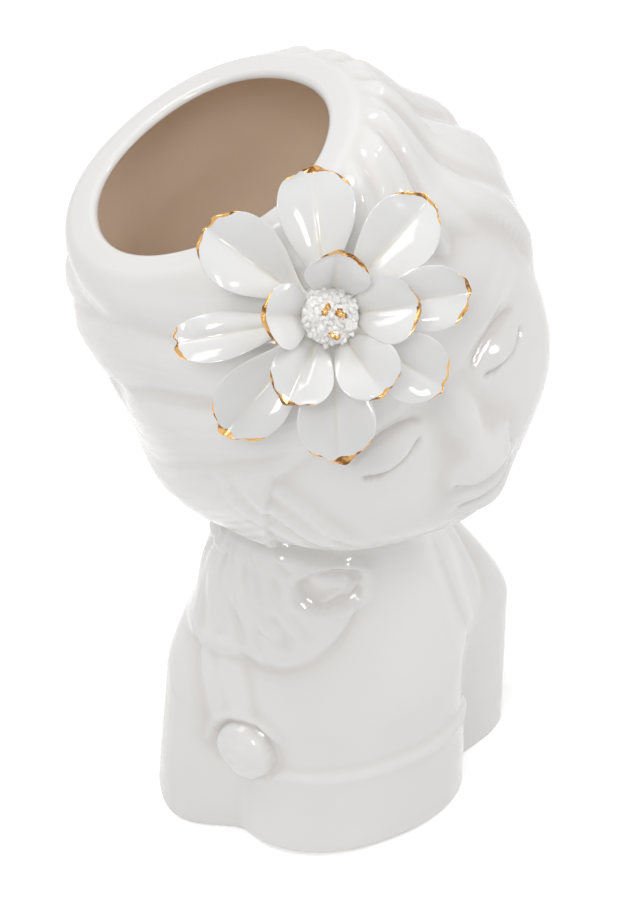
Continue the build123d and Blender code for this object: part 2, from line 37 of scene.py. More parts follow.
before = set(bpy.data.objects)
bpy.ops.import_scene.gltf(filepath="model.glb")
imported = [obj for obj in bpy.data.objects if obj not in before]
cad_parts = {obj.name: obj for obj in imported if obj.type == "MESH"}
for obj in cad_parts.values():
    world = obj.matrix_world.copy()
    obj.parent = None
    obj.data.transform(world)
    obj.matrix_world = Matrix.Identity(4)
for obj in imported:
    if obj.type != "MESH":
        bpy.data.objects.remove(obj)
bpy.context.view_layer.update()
MM = 0.001
BODY = "root"

# The figure looks along -Y and its left is +X. Angles of the face are azimuth, positive to the
# figure's left, and elevation. Angles round the bust start in front and are positive to the left.

# Cast wall of the head: how proud as a share of the half width, azimuth, elevation, reach in each
CAST_SWELL_SHARES = np.array([
    (0.14, 0, -50, 26, 18),
    (0.125, 36, -28, 26, 20),
    (0.125, -36, -28, 26, 20),
    (-0.12, -92, 20, 34, 24),
    (-0.10, 64, 40, 34, 20),
    (0.05, -58, -4, 18, 14),
])

# The face, a calm one on plain proportions, in the same columns
FACE_SWELL_SHARES = np.array([
    (0.140, 0, -20, 6.2, 5.6),
    (0.078, 0, -8, 4.8, 9),
    (0.060, 6.6, -21.5, 3.6, 3.6),
    (0.060, -6.6, -21.5, 3.6, 3.6),
    (-0.045, 3.4, -24.6, 1.9, 1.3),
    (-0.045, -3.4, -24.6, 1.9, 1.3),
    (-0.072, 20, -1, 11, 7.5),
    (-0.072, -20, -1, 11, 7.5),
    (0.066, 21, -3.8, 9, 5.4),
    (0.066, -21, -3.8, 9, 5.4),
    (0.030, 19, 9, 14, 4.5),
    (0.030, -19, 9, 14, 4.5),
    (-0.016, 0, -27.5, 1.8, 2.6),
    (0.046, 3.8, -31.8, 5.8, 2.6),
    (0.046, -3.8, -31.8, 5.8, 2.6),
    (0.062, 0, -38.2, 7.4, 2.9),
    (-0.034, 0, -43.6, 9, 3.2),
    (0.030, 0, -51, 10, 6),
])

# The hair's masses, in the same columns
HAIR_SWELL_SHARES = np.array([
    (-0.09, -116, 2, 22, 16),
    (0.06, -86, -24, 22, 14),
    (0.03, -138, 24, 14, 10),
    (-0.025, -126, 15, 8, 5),
])

# Fine lines of the face: depth share, middle azimuth, elevation there, half length, bow, width
FACE_LINE_SHARES = np.array([
    (0.034, 0, -35.0, 10.5, 1.0, 0.85),
    (0.030, 21, -7.6, 9.5, 2.8, 0.75),
    (0.030, -21, -7.6, 9.5, 2.8, 0.75),
    (0.020, 20.5, 2.2, 11, -2.4, 1.0),
    (0.020, -20.5, 2.2, 11, -2.4, 1.0),
])

# Lengths of the hair's waves in degrees: locks, narrower waves and strands, the same on the left, and the jaw
LOCK_WAVE, NARROW_WAVE, STRAND_WAVE = 19, 10.5, 3.4
SWEPT_WAVE, NARROW_SWEPT_WAVE = 20, 12
JAW_WAVE = 7

# Each petal's place round the flower in degrees, length share, width share, twist and added lift in degrees,
# and how far its tip is drawn out as a share of its length
OUTER_PETALS = [
    (94, 0.98, 1.05, 4, 0, 0.0), (46, 1.0, 1.0, -6, 0, 0.06), (7, 0.94, 0.9, 8, 4, 0.03),
    (-34, 0.88, 0.95, -4, 0, 0.04), (-88, 0.95, 1.05, 5, 0, 0.05), (-134, 1.04, 1.0, -8, 0, 0.02),
    (-172, 1.06, 0.72, 26, 0, -0.02), (142, 1.0, 1.05, -7, 4, 0.02),
]
INNER_PETALS = [
    (80, 0.9, 1.0, 3, 22, -0.02), (5, 0.98, 1.05, -5, 4, 0.04), (-57, 1.05, 1.0, 6, 0, -0.03),
    (-119, 1.06, 1.0, -4, 0, 0.0), (176, 0.88, 1.0, 5, 18, 0.0),
]


# Properties


def millimetres(name, description, size):
    """A length property, given in millimetres."""
    return FloatProperty(name=name, description=description, default=size * MM, unit="LENGTH")


def degrees(name, description, size):
    """An angle property, given in degrees."""
    return FloatProperty(name=name, description=description, default=math.radians(size), unit="ROTATION")


def place_mm(name, description, place):
    """A place property, given in millimetres."""
    return FloatVectorProperty(name=name, description=description, default=[c * MM for c in place], unit="LENGTH")


def srgb(name, description, value):
    """A colour property, as an sRGB hex value."""
    return StringProperty(name=name, description=description, default=value)


class HeadSizes(PropertyGroup):
    """Sizes of the head casting."""

    half_width: millimetres("Half width", "Centre to temple", 64)
    front: millimetres("Front", "Centre to brow", 61)
    back: millimetres("Back", "Centre to back of the head", 63)
    crown: millimetres("Crown", "Centre to crown", 70)
    under: millimetres("Under", "Centre to jaw", 66)
    centre: place_mm("Centre", "Middle of the head", (-14, -2, 185))
    turn: degrees("Turn", "Face to its left", 15)
    tilt: degrees("Tilt", "Head to its right", 24)
    squareness: FloatProperty(name="Squareness", description="2 is an ellipsoid", default=2.15)
    jaw_taper: FloatProperty(name="Jaw taper", description="Narrowing down", default=0.16, subtype="FACTOR")
    mouth_radius: millimetres("Mouth radius", "Open mouth", 35.6)
    mouth_height: millimetres("Mouth height", "Centre to lip", 60)
    mouth_lean: degrees("Mouth lean", "Mouth's axis back from the crown", 10)
    mouth_shift: millimetres("Mouth shift", "Mouth to its right", 2.5)
    lip_width: millimetres("Lip width", "Wall at the lip", 10.8)
    lip_round: millimetres("Lip round", "Lip's outer edge", 4.2)
    lip_edge: millimetres("Lip edge", "Lip's inner edge", 2.0)
    wall: millimetres("Wall", "Wall thickness", 6)
    neck_radius: millimetres("Neck radius", "Neck joint", 31)
    neck_centre: place_mm("Neck centre", "Middle of the neck joint", (-8, 6, 127))
    neck_lean: degrees("Neck lean", "Neck to its right", 11.5)
    hair_thickness: millimetres("Hair", "Hair over the scalp", 2.2)
    lock_depth: millimetres("Lock depth", "Rise of a lock", 1.5)
    strand_depth: millimetres("Strand depth", "Rise of a strand", 0.22)


class BustSizes(PropertyGroup):
    """Sizes of the bust casting."""

    half_width: millimetres("Half width", "Chest half width", 39.3)
    chest: millimetres("Chest", "Axis to chest", 34.5)
    back: millimetres("Back", "Axis to back", 38)
    squareness: FloatProperty(name="Squareness", description="2 is an ellipse", default=2.3)
    shift: millimetres("Chest shift", "Chest to its right", 2.3)
    left_arm: millimetres("Left arm", "Arm beyond the chest", 25.7)
    right_arm: millimetres("Right arm", "Arm beyond the chest", 18)
    arm_draft: millimetres("Arm draft", "Right arm's narrowing", 4)
    shoulder: millimetres("Shoulder", "Shoulder height", 49)
    shoulder_slope: millimetres("Shoulder slope", "Left shoulder up, right one down", 3)
    crest: millimetres("Crest", "Roundness of the shoulders", 13)
    bodice: millimetres("Bodice", "Height of its edge", 33)
    floor: millimetres("Floor", "Floor thickness", 7)
    foot_round: millimetres("Foot round", "Round at the base", 2)


class FlowerSizes(PropertyGroup):
    """Sizes of the flower on the brow."""

    azimuth: degrees("Azimuth", "On the brow", -19.5)
    elevation: degrees("Elevation", "On the brow", 41.5)
    seat: millimetres("Seat", "Over the cast head", 1.84)
    core_radius: millimetres("Core radius", "Pad's seat", 8)
    core_height: millimetres("Core height", "Pad's top", 13.6)
    button_radius: millimetres("Button radius", "Button", 7.5)
    button_rise: millimetres("Button rise", "Dome's rise", 5)
    outer_length: millimetres("Outer length", "Outer petal", 33)
    outer_width: millimetres("Outer width", "Outer petal", 20)
    inner_length: millimetres("Inner length", "Inner petal", 22)
    inner_width: millimetres("Inner width", "Inner petal", 17.5)
    thickness: millimetres("Thickness", "Petal's edge", 1.2)
    gilt_width: millimetres("Gilt width", "Gold on an edge", 1.9)
    grains: IntProperty(name="Grains", description="Clay grains on the button", default=95)


class Finishes(PropertyGroup):
    """Colours, as sRGB hex values."""

    glaze: srgb("Glaze", "White glaze", "#E7E6E4")
    petal: srgb("Petal", "Petals' glaze", "#E1E1E1")
    # Lighter, warmer colour at the petals' roots and grooves: a painted glow for light shining through the thin
    # clay
    painted_root_glow: srgb("Cream", "Petals' glaze lying thick at the root", "#ECE6DC")
    # Darker, warmer colour in the castings' hollows: the glaze lying thicker there, and painted shade
    pool: srgb("Pooled glaze", "Glaze lying thick in a hollow", "#D8D2CE")
    grain: srgb("Grains", "Crumbled clay of the button", "#F3F1EE")
    gold: srgb("Gold", "Gold lustre", "#DDAE70")
    # Colour of the dark patches painted into the gold lustre for dark reflections
    painted_dark_reflection: srgb("Brown", "Gold lustre where it is thick", "#70421D")
    bisque: srgb("Bisque", "Bare clay inside", "#FCEAD7")
    floor: srgb("Floor", "Studio floor", "#F4F4F4")


def ease(x):
    """0 below 0, 1 above 1, and a smooth step between."""
    x = np.clip(x, 0, 1)
    return x * x * (3 - 2 * x)


def bell(x):
    """A bell that is 1 at 0."""
    return np.exp(-x * x)


def apart(angle, middle):
    """How far angles in degrees lie from a middle, from -180 to 180."""
    return (angle - middle + 180) % 360 - 180


def wave(x, length, shift):
    """A sine wave of a length, ahead by a shift in radians."""
    return np.sin(2 * math.pi * x / length + shift)


def unit(v):
    """Vectors at length 1, along the last axis."""
    return v / np.linalg.norm(v, axis=-1, keepdims=True)


# Meshes


def grid_faces(rows, columns, wrap_rows):
    """Quads of a grid whose columns close on themselves, and whose rows do if asked."""
    last = rows if wrap_rows else rows - 1
    r, c = np.meshgrid(np.arange(last), np.arange(columns), indexing="ij")
    r2, c2 = (r + 1) % rows, (c + 1) % columns
    corners = (r * columns + c, r * columns + c2, r2 * columns + c2, r2 * columns + c)
    return np.stack(corners, axis=-1).reshape(-1, 4)


def make_piece(name, points, wrap_rows=False, values=None, materials=(), row_material=None):
    """A mesh piece from a grid of points whose columns close. Its first and last rows get caps unless the
    rows close too. Values are named numbers per point, and row_material picks a material per row."""
    rows, columns = points.shape[:2]
    quads = grid_faces(rows, columns, wrap_rows)
    ends = [] if wrap_rows else [np.arange(columns)[::-1], np.arange(columns) + (rows - 1) * columns]
    mesh = bpy.data.meshes.new(name)
    fill_mesh(mesh, points.reshape(-1, 3), quads, ends)
    for key, field in (values or {}).items():
        layer = mesh.attributes.new(key, "FLOAT", "POINT")
        layer.data.foreach_set("value", np.ascontiguousarray(field, np.float32).ravel())
    for material in materials:
        mesh.materials.append(material)
    if row_material is not None:
        index = np.zeros(len(mesh.polygons), np.int32)
        index[: len(quads)] = np.repeat(row_material[: len(quads) // columns], columns)
        mesh.polygons.foreach_set("material_index", index)
    return link_piece(name, mesh)


def fill_mesh(mesh, points, quads, ends=()):
    """Puts points, quads and end caps into an empty mesh, shaded smooth."""
    loops = np.concatenate([quads.ravel(), *ends]) if len(ends) else quads.ravel()
    sizes = np.array([4] * len(quads) + [len(e) for e in ends])
    mesh.vertices.add(len(points))
    mesh.vertices.foreach_set("co", np.ascontiguousarray(points, np.float32).ravel())
    mesh.loops.add(len(loops))
    mesh.loops.foreach_set("vertex_index", loops.astype(np.int32))
    mesh.polygons.add(len(sizes))
    mesh.polygons.foreach_set("loop_start", np.concatenate([[0], np.cumsum(sizes)[:-1]]).astype(np.int32))
    mesh.polygons.foreach_set("use_smooth", np.ones(len(sizes), bool))
    mesh.update(calc_edges=True)
    if mesh.validate():
        raise RuntimeError(f"{mesh.name} has broken faces")


def link_piece(name, mesh):
    """The mesh as an object of the scene that rides on the body."""
    piece = bpy.data.objects.new(name, mesh)
    bpy.context.scene.collection.objects.link(piece)
    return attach(piece, BODY)


def blurred(field, steps):
    """A field on a grid with closed columns, averaged with its neighbours a number of times."""
    for _ in range(steps):
        field = (2 * field + np.roll(field, 1, 1) + np.roll(field, -1, 1)) / 4
        inner = (2 * field[1:-1] + field[:-2] + field[2:]) / 4
        field = np.concatenate([field[:1], inner, field[-1:]])
    return field


def glaze_and_shade_in_hollows(height):
    """How much darker colour goes into the hollows of a relief, for pooled glaze and painted shade: its depth
    below its own blur, from 0 to 1.
    """
    steps, full_depth = 24, 0.5 * MM
    return np.clip((blurred(height, steps) - height) / full_depth, 0, 1)


# Materials


def linear(text):
    """An sRGB hex value as linear red, green, blue and alpha."""
    value = np.array([int(text[k : k + 2], 16) / 255 for k in (1, 3, 5)])
    rgb = np.where(value <= 0.04045, value / 12.92, ((value + 0.055) / 1.055) ** 2.4)
    return (*rgb, 1.0)


def node(tree, kind, links=None, values=None, **settings):
    """Adds a shader node with its settings, its sockets' values, and links from other nodes' outputs."""
    made = tree.nodes.new("ShaderNode" + kind)
    for key, value in settings.items():
        setattr(made, key, value)
    for key, value in (values or {}).items():
        made.inputs[key].default_value = value
    for key, (source, output) in (links or {}).items():
        tree.links.new(source.outputs[output], made.inputs[key])
    return made


def new_material(name):
    """An empty node material and its tree."""
    material = bpy.data.materials.new(name)
    material.use_nodes = True
    material.node_tree.nodes.clear()
    return material, material.node_tree


def seen_by(tree, first, *others):
    """1 for rays of these kinds, and 0 for the rest."""
    ray = node(tree, "LightPath")
    total, output = ray, first
    for kind in others:
        links = {0: (total, output), 1: (ray, kind)}
        total, output = node(tree, "Math", links, operation="ADD", use_clamp=True), 0
    return total


def uneven_skin(tree, place, size, detail, strength, depth):
    """Bumps of a size and a depth, for a skin that isn't quite even."""
    noise = node(tree, "TexNoise", {"Vector": (place, "Object")}, {"Scale": 1 / size, "Detail": detail})
    return node(tree, "Bump", {"Height": (noise, "Fac")}, {"Strength": strength, "Distance": depth})


def surfaced(material, links, values=None):
    """The material with its one Principled surface."""
    skin = node(material.node_tree, "BsdfPrincipled", links, values)
    node(material.node_tree, "OutputMaterial", {"Surface": (skin, "BSDF")})
    return material


def glaze_material(name, colour, pool):
    """Clear gloss glaze over white porcelain. Dipped and fired, it is mirror smooth with a faint ripple
    about 9 mm long. In the hollows of the relief its colour is painted darker and warmer, for the glaze
    lying thicker there and for painted shade."""
    material, tree = new_material(name)
    place = node(tree, "TexCoord")
    # Darker, warmer colour in the hollows: pooled glaze and painted shade, plus a random wash of it about 30 mm
    # across
    cloud = node(tree, "TexNoise", {"Vector": (place, "Object")}, {"Scale": 1 / (30 * MM), "Detail": 2.0})
    depth = node(tree, "Attribute", attribute_name="pool")
    wash = node(tree, "Math", {0: (cloud, "Fac")}, {1: 0.22}, operation="MULTIPLY")
    links = {0: (depth, "Fac"), 2: (wash, 0)}
    amount = node(tree, "Math", links, {1: 0.6}, operation="MULTIPLY_ADD", use_clamp=True)
    ends = {"A": linear(colour), "B": linear(pool)}
    tint = node(tree, "Mix", {"Factor": (amount, 0)}, ends, data_type="RGBA")
    ripple = uneven_skin(tree, place, 9 * MM, 1.0, 0.12, 0.25 * MM)
    links = {"Base Color": (tint, "Result"), "Normal": (ripple, "Normal")}
    return surfaced(material, links, {"Roughness": 0.07, "IOR": 1.5})


def lustre(tree, place, gold, painted_dark_reflection):
    """Colour of gold lustre: bright gold, with dark patches about 3 mm across painted in for dark reflections in
    the metal.
    """
    cloud = node(tree, "TexNoise", {"Vector": (place, "Object")}, {"Scale": 1 / (3 * MM), "Detail": 2.0})
    span = {"From Min": 0.45, "From Max": 0.62, "To Max": 0.85}
    # Mask of the painted dark reflections
    thick = node(tree, "MapRange", {"Value": (cloud, "Fac")}, span, interpolation_type="SMOOTHSTEP")
    ends = {"A": linear(gold), "B": linear(painted_dark_reflection)}
    return node(tree, "Mix", {"Factor": (thick, "Result")}, ends, data_type="RGBA")


def petal_material(name, colour, pool, gold, painted_dark_reflection):
    """The petals' glaze, with gold lustre brushed along their edges. The lustre is a film of metal: it is
    mirror smooth, thin at its brushed border, and broken by bare spots about 2 mm across."""
    material, tree = new_material(name)
    place = node(tree, "TexCoord")
    gilt = node(tree, "Attribute", attribute_name="gilt")
    depth = node(tree, "Attribute", attribute_name="pool")
    spots = node(tree, "TexNoise", {"Vector": (place, "Object")}, {"Scale": 1 / (2.4 * MM), "Detail": 1.0})
    broken = node(tree, "Math", {0: (gilt, "Fac"), 1: (spots, "Fac")}, operation="ADD")
    span = {"From Min": 0.86, "From Max": 0.98}
    edge = node(tree, "MapRange", {"Value": (broken, 0)}, span, interpolation_type="SMOOTHSTEP")
    # The mask below mixes in the lighter, warmer root colour: a painted glow at the root and along the groove
    amount = node(tree, "Math", {0: (depth, "Fac")}, {1: 0.8}, operation="MULTIPLY")
    ends = {"A": linear(colour), "B": linear(pool)}
    tint = node(tree, "Mix", {"Factor": (amount, 0)}, ends, data_type="RGBA")
    gilding = lustre(tree, place, gold, painted_dark_reflection)
    links = {"Factor": (edge, "Result"), "A": (tint, "Result"), "B": (gilding, "Result")}
    skin_colour = node(tree, "Mix", links, data_type="RGBA")
    rough = node(tree, "MapRange", {"Value": (edge, "Result")}, {"To Min": 0.08, "To Max": 0.17})
    ripple = uneven_skin(tree, place, 5 * MM, 1.0, 0.15, 0.2 * MM)
    metal = {"Metallic": (edge, "Result"), "Roughness": (rough, "Result")}
    return surfaced(material, {"Base Color": (skin_colour, "Result"), "Normal": (ripple, "Normal"), **metal})


def gold_material(name, gold, painted_dark_reflection):
    """Fired gold lustre over clay: bright metal with a slightly uneven skin about 1 mm in scale."""
    material, tree = new_material(name)
    place = node(tree, "TexCoord")
    grit = uneven_skin(tree, place, 1.2 * MM, 3.0, 0.4, 0.2 * MM)
    # The nuggets' gold takes the same painted dark reflections in patches
    links = {"Base Color": (lustre(tree, place, gold, painted_dark_reflection), "Result"), "Normal": (grit, "Normal")}
    return surfaced(material, links, {"Metallic": 1.0, "Roughness": 0.2})


def bisque_material(name, colour):
    """Bare fired clay inside the pot: matt, dry, with slip marks about 18 mm across and a fine tooth."""
    material, tree = new_material(name)
    place = node(tree, "TexCoord")
    marks = node(tree, "TexNoise", {"Vector": (place, "Object")}, {"Scale": 1 / (18 * MM), "Detail": 4.0})
    light = linear(colour)
    dark = tuple(0.9 * c for c in light[:3])
    tint = node(tree, "Mix", {"Factor": (marks, "Fac")}, {"A": light, "B": (*dark, 1.0)}, data_type="RGBA")
    tooth = uneven_skin(tree, place, 1.5 * MM, 2.0, 0.2, 0.1 * MM)
    links = {"Base Color": (tint, "Result"), "Normal": (tooth, "Normal")}
    return surfaced(material, links, {"Roughness": 0.75})


def finish_named(name, make, *colours):
    """A material by its name, made the first time that it is asked for."""
    return bpy.data.materials.get(name) or make(name, *colours)


def casting_finishes(look):
    """The castings' glaze, and the bare clay inside them."""
    glaze = finish_named("white_gloss_glaze", glaze_material, look.glaze, look.pool)
    return glaze, finish_named("bare_clay", bisque_material, look.bisque)


def grain_glaze(look):
    """The thin glaze over the button's crumbled clay."""
    return finish_named("grain_glaze", glaze_material, look.grain, look.glaze)


def petal_glaze(look):
    """The flower's glaze with its gold edges."""
    colours = (look.petal, look.painted_root_glow, look.gold, look.painted_dark_reflection)
    return finish_named("petal_glaze_gold_lustre", petal_material, *colours)


# Head


class HeadFrame:
    """The head's directions, its mouth and its neck joint, worked out from the sizes."""

    def __init__(self, head):
        up = np.array([0.0, 0.0, 1.0])
        self.sizes = head
        self.centre = np.array(head.centre)
        self.forward = np.array([math.sin(head.turn), -math.cos(head.turn), 0.0])
        level_left = np.array([math.cos(head.turn), math.sin(head.turn), 0.0])
        self.up = math.cos(head.tilt) * up - math.sin(head.tilt) * level_left
        self.left = math.cos(head.tilt) * level_left + math.sin(head.tilt) * up
        self.mouth_axis = math.cos(head.mouth_lean) * self.up - math.sin(head.mouth_lean) * self.forward
        self.mouth = self.centre + head.mouth_height * self.mouth_axis - head.mouth_shift * self.left
        self.neck_axis = np.array([-math.sin(head.neck_lean), 0.0, math.cos(head.neck_lean)])
        self.neck = np.array(head.neck_centre)

    def parts(self, d):
        """Shares of directions to the left, ahead and above."""
        return d @ self.left, d @ self.forward, d @ self.up

    def ring(self, axis, angles):
        """Directions square to an axis, at angles from the face's side towards the left."""
        ahead = unit(self.forward - (self.forward @ axis) * axis)
        left = np.cross(axis, ahead)
        return np.cos(angles)[..., None] * ahead + np.sin(angles)[..., None] * left

    def circle(self, centre, axis, radius, angles):
        """Points of a circle about an axis."""
        return centre + radius * self.ring(axis, angles)


def swells(azimuth, elevation, rows):
    """The sum of soft bumps, each one a bell in azimuth times a bell in elevation."""
    level = np.cos(np.radians(elevation))
    total = np.zeros_like(azimuth)
    for share, at_azimuth, at_elevation, wide, high in rows:
        across = apart(azimuth, at_azimuth) * level
        total += share * bell(across / wide) * bell((elevation - at_elevation) / high)
    return total


def lines(azimuth, elevation, rows):
    """Fine cut lines: each one a bell across a bowed curve, faded at its ends."""
    total = np.zeros_like(azimuth)
    for share, middle, height, half, bow, width in rows:
        along = apart(azimuth, middle) / half
        across = elevation - height - bow * along**2
        total -= share * bell(across / width) * (1 - ease((np.abs(along) - 0.75) / 0.3))
    return total


def jaw_locks(azimuth, elevation):
    """Locks that come forward on a slant over the right of the jaw: degrees behind their front edge, and how
    much of them there is at each elevation."""
    behind = -50 - 0.4 * (elevation - 5) - azimuth
    return behind, ease((9 - elevation) / 8) * ease((elevation + 36) / 20)


def hair_cover(azimuth, elevation):
    """1 where there is hair. The hairline is high over the brow and falls with the cube of the azimuth, in
    waves on the left, with an edge that is as wide across where it is steep. On the right it runs lower over
    the temple, and thinner locks come forward again over the jaw."""
    hairline = 40 - 100 * (np.clip(np.abs(azimuth), 0, 70) / 70) ** 3
    temple = ease(azimuth / 20) * (1 - ease((azimuth - 45) / 20))
    waves = temple * (3 * np.sin(azimuth / 5) + 1.5 * np.sin(azimuth / 2.1))
    hairline = np.where(azimuth < 0, np.minimum(hairline, 28 + 0.46 * azimuth), hairline + waves)
    edge = 6 * np.hypot(1, 4.3 * (np.clip(azimuth, 0, 70) / 70) ** 2)
    behind, share = jaw_locks(azimuth, elevation)
    return np.maximum(ease((elevation - hairline) / edge + 0.5), 0.5 * share * ease(behind / 4 + 0.5))


def swept_waves(azimuth, elevation):
    """The hair on the left: how much of it is swept down from the crown, and its waves. They run on a slant
    that is bowed above the temple and straight below it, with narrower ones at a slightly other slant."""
    along = np.radians(azimuth)
    share = ease((azimuth - 4) / 22) * (1 - ease((azimuth - 95) / 55))
    held = (elevation - 20 + np.hypot(elevation - 20, 6)) / 2
    slant = azimuth + 0.85 * held - 0.025 * held**2 + 2.5 * np.sin(3 * np.radians(held) + 2 * along + 1)
    return share, wave(slant, SWEPT_WAVE, 4.1) + 0.45 * wave(slant - 0.3 * held, NARROW_SWEPT_WAVE, 0.3)


def hair_height(head, azimuth, elevation):
    """Hair drawn back from the brow round both sides to the nape. Locks are waves of a flow angle, which is
    the elevation, falling as the hair goes back and swaying on its way: round on top, with a narrow valley
    between, lower over the right cheek. Narrower waves ride on them, and combed strands on those, deepest at
    the back. On the left the hair is swept down instead. Over the right of the jaw, waves follow the slant of
    the locks there."""
    sizes = head.sizes
    along, above = np.radians(azimuth), np.radians(elevation)
    sway = 5 * np.sin(2 * along + 2 * above) + 2.5 * np.sin(3 * along + 3 * above + 1)
    flow = elevation + 0.16 * np.hypot(azimuth, 20) + sway
    broad = 2.6 * np.sqrt(0.65 + 0.5 * wave(flow, LOCK_WAVE, 0.6)) - 1.9
    narrow = wave(flow, NARROW_WAVE, 1.6 * np.sin(2 * along + 1)) * (0.6 + 0.4 * np.sin(3 * along + 2))
    strand = wave(flow, STRAND_WAVE, 1.5 * np.sin(3 * along))
    combed = ease((np.abs(apart(azimuth, -40)) - 78) / 45)
    soft = 0.75 - 0.5 * bell(apart(azimuth, -72) / 34) * bell((elevation + 16) / 28)
    swept, fringe = swept_waves(azimuth, elevation)
    locks = (1 - swept) * (soft * broad + (0.22 + 0.25 * combed) * narrow) + swept * 0.65 * fringe
    strands = sizes.strand_depth * (0.3 + 0.7 * combed) * (1 - swept) * strand
    hair = hair_cover(azimuth, elevation) * (sizes.hair_thickness + sizes.lock_depth * locks + strands)
    behind, share = jaw_locks(azimuth, elevation)
    jaw = np.cos(2 * math.pi * behind / JAW_WAVE) * bell((behind - 8) / 7)
    return hair + 0.4 * sizes.lock_depth * share * jaw


def cast_radius(head, d):
    """Radius of the plain cast head: a superellipsoid narrowed to the jaw, with chin and cheeks."""
    sizes = head.sizes
    left, ahead, above = head.parts(d)
    wide = sizes.half_width * (1 + sizes.jaw_taper * np.clip(above, -1, 0.3))
    deep = np.where(ahead > 0, sizes.front, sizes.back)
    high = np.where(above > 0, sizes.crown, sizes.under)
    terms = [(np.abs(left) / wide), (np.abs(ahead) / deep), (np.abs(above) / high)]
    plain = sum(t**sizes.squareness for t in terms) ** (-1 / sizes.squareness)
    return plain + sizes.half_width * swells(*face_angles(head, d), CAST_SWELL_SHARES)


def face_angles(head, d):
    """Azimuth and elevation of directions in the face's frame, in degrees."""
    left, ahead, above = head.parts(d)
    return np.degrees(np.arctan2(left, ahead)), np.degrees(np.arcsin(np.clip(above, -1, 1)))


def carving(head, d):
    """How far face and hair stand proud of the cast head."""
    azimuth, elevation = face_angles(head, d)
    face = swells(azimuth, elevation, FACE_SWELL_SHARES) + lines(azimuth, elevation, FACE_LINE_SHARES)
    masses = swells(azimuth, elevation, HAIR_SWELL_SHARES)
    return head.sizes.half_width * (face + masses) + hair_height(head, azimuth, elevation)


def vessel(head, low, high, angles, shares, relief, inset, start):
    """A surface between two end rings. Directions from the head's centre bow out over its side by a
    quadratic Bezier from one ring to the other, and radii ease into the rings, the high one from
    a starting share at each angle. Also gives the relief."""
    low, high = low - head.centre, high - head.centre
    low_radius, high_radius = np.linalg.norm(low, axis=-1), np.linalg.norm(high, axis=-1)
    side = head.ring(head.mouth_axis, angles)
    s = shares[:, None, None]
    d = unit((1 - s) ** 2 * unit(low) + 2 * s * (1 - s) * side + s**2 * unit(high))
    low_share = 0.14
    near_low = 1 - ease(shares / low_share)[:, None]
    near_high = ease((shares[:, None] - start) / (1 - start))
    proud = relief(head, d) if relief else np.zeros(d.shape[:2])
    fade = 0.86 + 0.08 * np.cos(angles - 0.9)
    proud = proud * (1 - near_low - ease((shares[:, None] - fade) / (1 - fade)))
    plain = (cast_radius(head, d) - inset) * (1 - near_low - near_high)
    radius = plain + proud + low_radius * near_low + high_radius * near_high
    return head.centre + radius[..., None] * d, proud


def lip_surface(head, angles, turns):
    """The lip: a round that leaves the head's slope, a flat top, and a tighter round that ends upright
    inside. Its radius wanders a little round the mouth, as a trimmed edge does."""
    sizes = head.sizes
    outside = turns < math.pi / 2
    turn_radius = np.where(outside, sizes.lip_round, sizes.lip_edge)
    outer, inner = sizes.mouth_radius + sizes.lip_width - sizes.lip_round, sizes.mouth_radius + sizes.lip_edge
    radius = np.where(outside, outer, inner) + turn_radius * np.cos(turns)
    rise = turn_radius * (np.sin(turns) - 1)
    wander = 0.35 * MM * np.sin(3 * angles + 0.7) + 0.2 * MM * np.sin(5 * angles + 2)
    ring = head.ring(head.mouth_axis, angles)
    return head.mouth + (radius[:, None] + wander)[..., None] * ring + rise[:, None, None] * head.mouth_axis


def face_spacing(count, middle, strength):
    """Shares from 0 to 1, closer together about a middle."""
    even = np.linspace(0, 1, count)
    sway = np.sin(2 * math.pi * (even - middle)) - math.sin(-2 * math.pi * middle)
    return even - strength * sway / (2 * math.pi)


class PLANTER_OT_head(Operator):
    """Makes the head: outside with face and hair, rolled lip, and the bare inside, as one closed wall."""

    bl_idname = "planter.head"
    bl_label = "Head"

    def execute(self, context):
        head, look = HeadFrame(context.scene.planter_head), context.scene.planter_finishes
        sizes = head.sizes
        columns, rows, lip_rows, inner_rows = 330, 220, 26, 40
        even = np.linspace(-math.pi, math.pi, columns, endpoint=False)
        angles = even - 0.5 * np.sin(even)
        joint = head.circle(head.neck, head.neck_axis, sizes.neck_radius, angles)
        throat = head.circle(head.neck, head.neck_axis, sizes.neck_radius - sizes.wall, angles)
        lip = lip_surface(head, angles, np.linspace(math.radians(55), math.pi, lip_rows))
        shares, start = face_spacing(rows, 0.3, 0.5), 0.82 - 0.06 * np.cos(angles - 0.7)
        outside, relief = vessel(head, joint, lip[0], angles, shares, carving, 0, start)
        shares = np.linspace(1, 0, inner_rows)
        inside, _ = vessel(head, throat, lip[-1], angles, shares, None, sizes.wall, 0.66)
        points = np.concatenate([outside, lip[1:-1], inside])
        pool = np.zeros(points.shape[:2])
        # Hollows of the face and hair take the darker glaze colour: pooled glaze and painted shade
        pool[: len(outside)] = glaze_and_shade_in_hollows(relief)
        row_material = np.zeros(len(points), np.int32)
        row_material[len(outside) + len(lip) - 2 :] = 1
        row_material[-1] = 0
        finishes = casting_finishes(look)
        piece = make_piece("head", points, True, {"pool": pool}, finishes, row_material)
        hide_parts("head_shell")
        return {"FINISHED"}


# Bust

# Where the arms are round the bust, and how wide, in degrees
ARM_TURN, ARM_SPREAD = 107, 24


def bust_outline(bust, turn):
    """Radius of the bust at its base: a squarish chest with a full, flat-topped arm at each side."""
    ahead, aside = np.cos(np.radians(turn)), np.sin(np.radians(turn))
    depth = np.where(ahead > 0, bust.chest, bust.back)
    terms = (np.abs(aside) / bust.half_width, np.abs(ahead) / depth)
    chest = sum(t**bust.squareness for t in terms) ** (-1 / bust.squareness)
    arms = bust.left_arm * arm_share(turn, ARM_TURN) + bust.right_arm * arm_share(turn, -ARM_TURN)
    return chest - bust.shift * aside + arms


def arm_share(turn, middle):
    """How much of an arm there is at an angle: a bell with a flat top and steep sides."""
    return np.exp(-((apart(turn, middle) / ARM_SPREAD) ** 4))


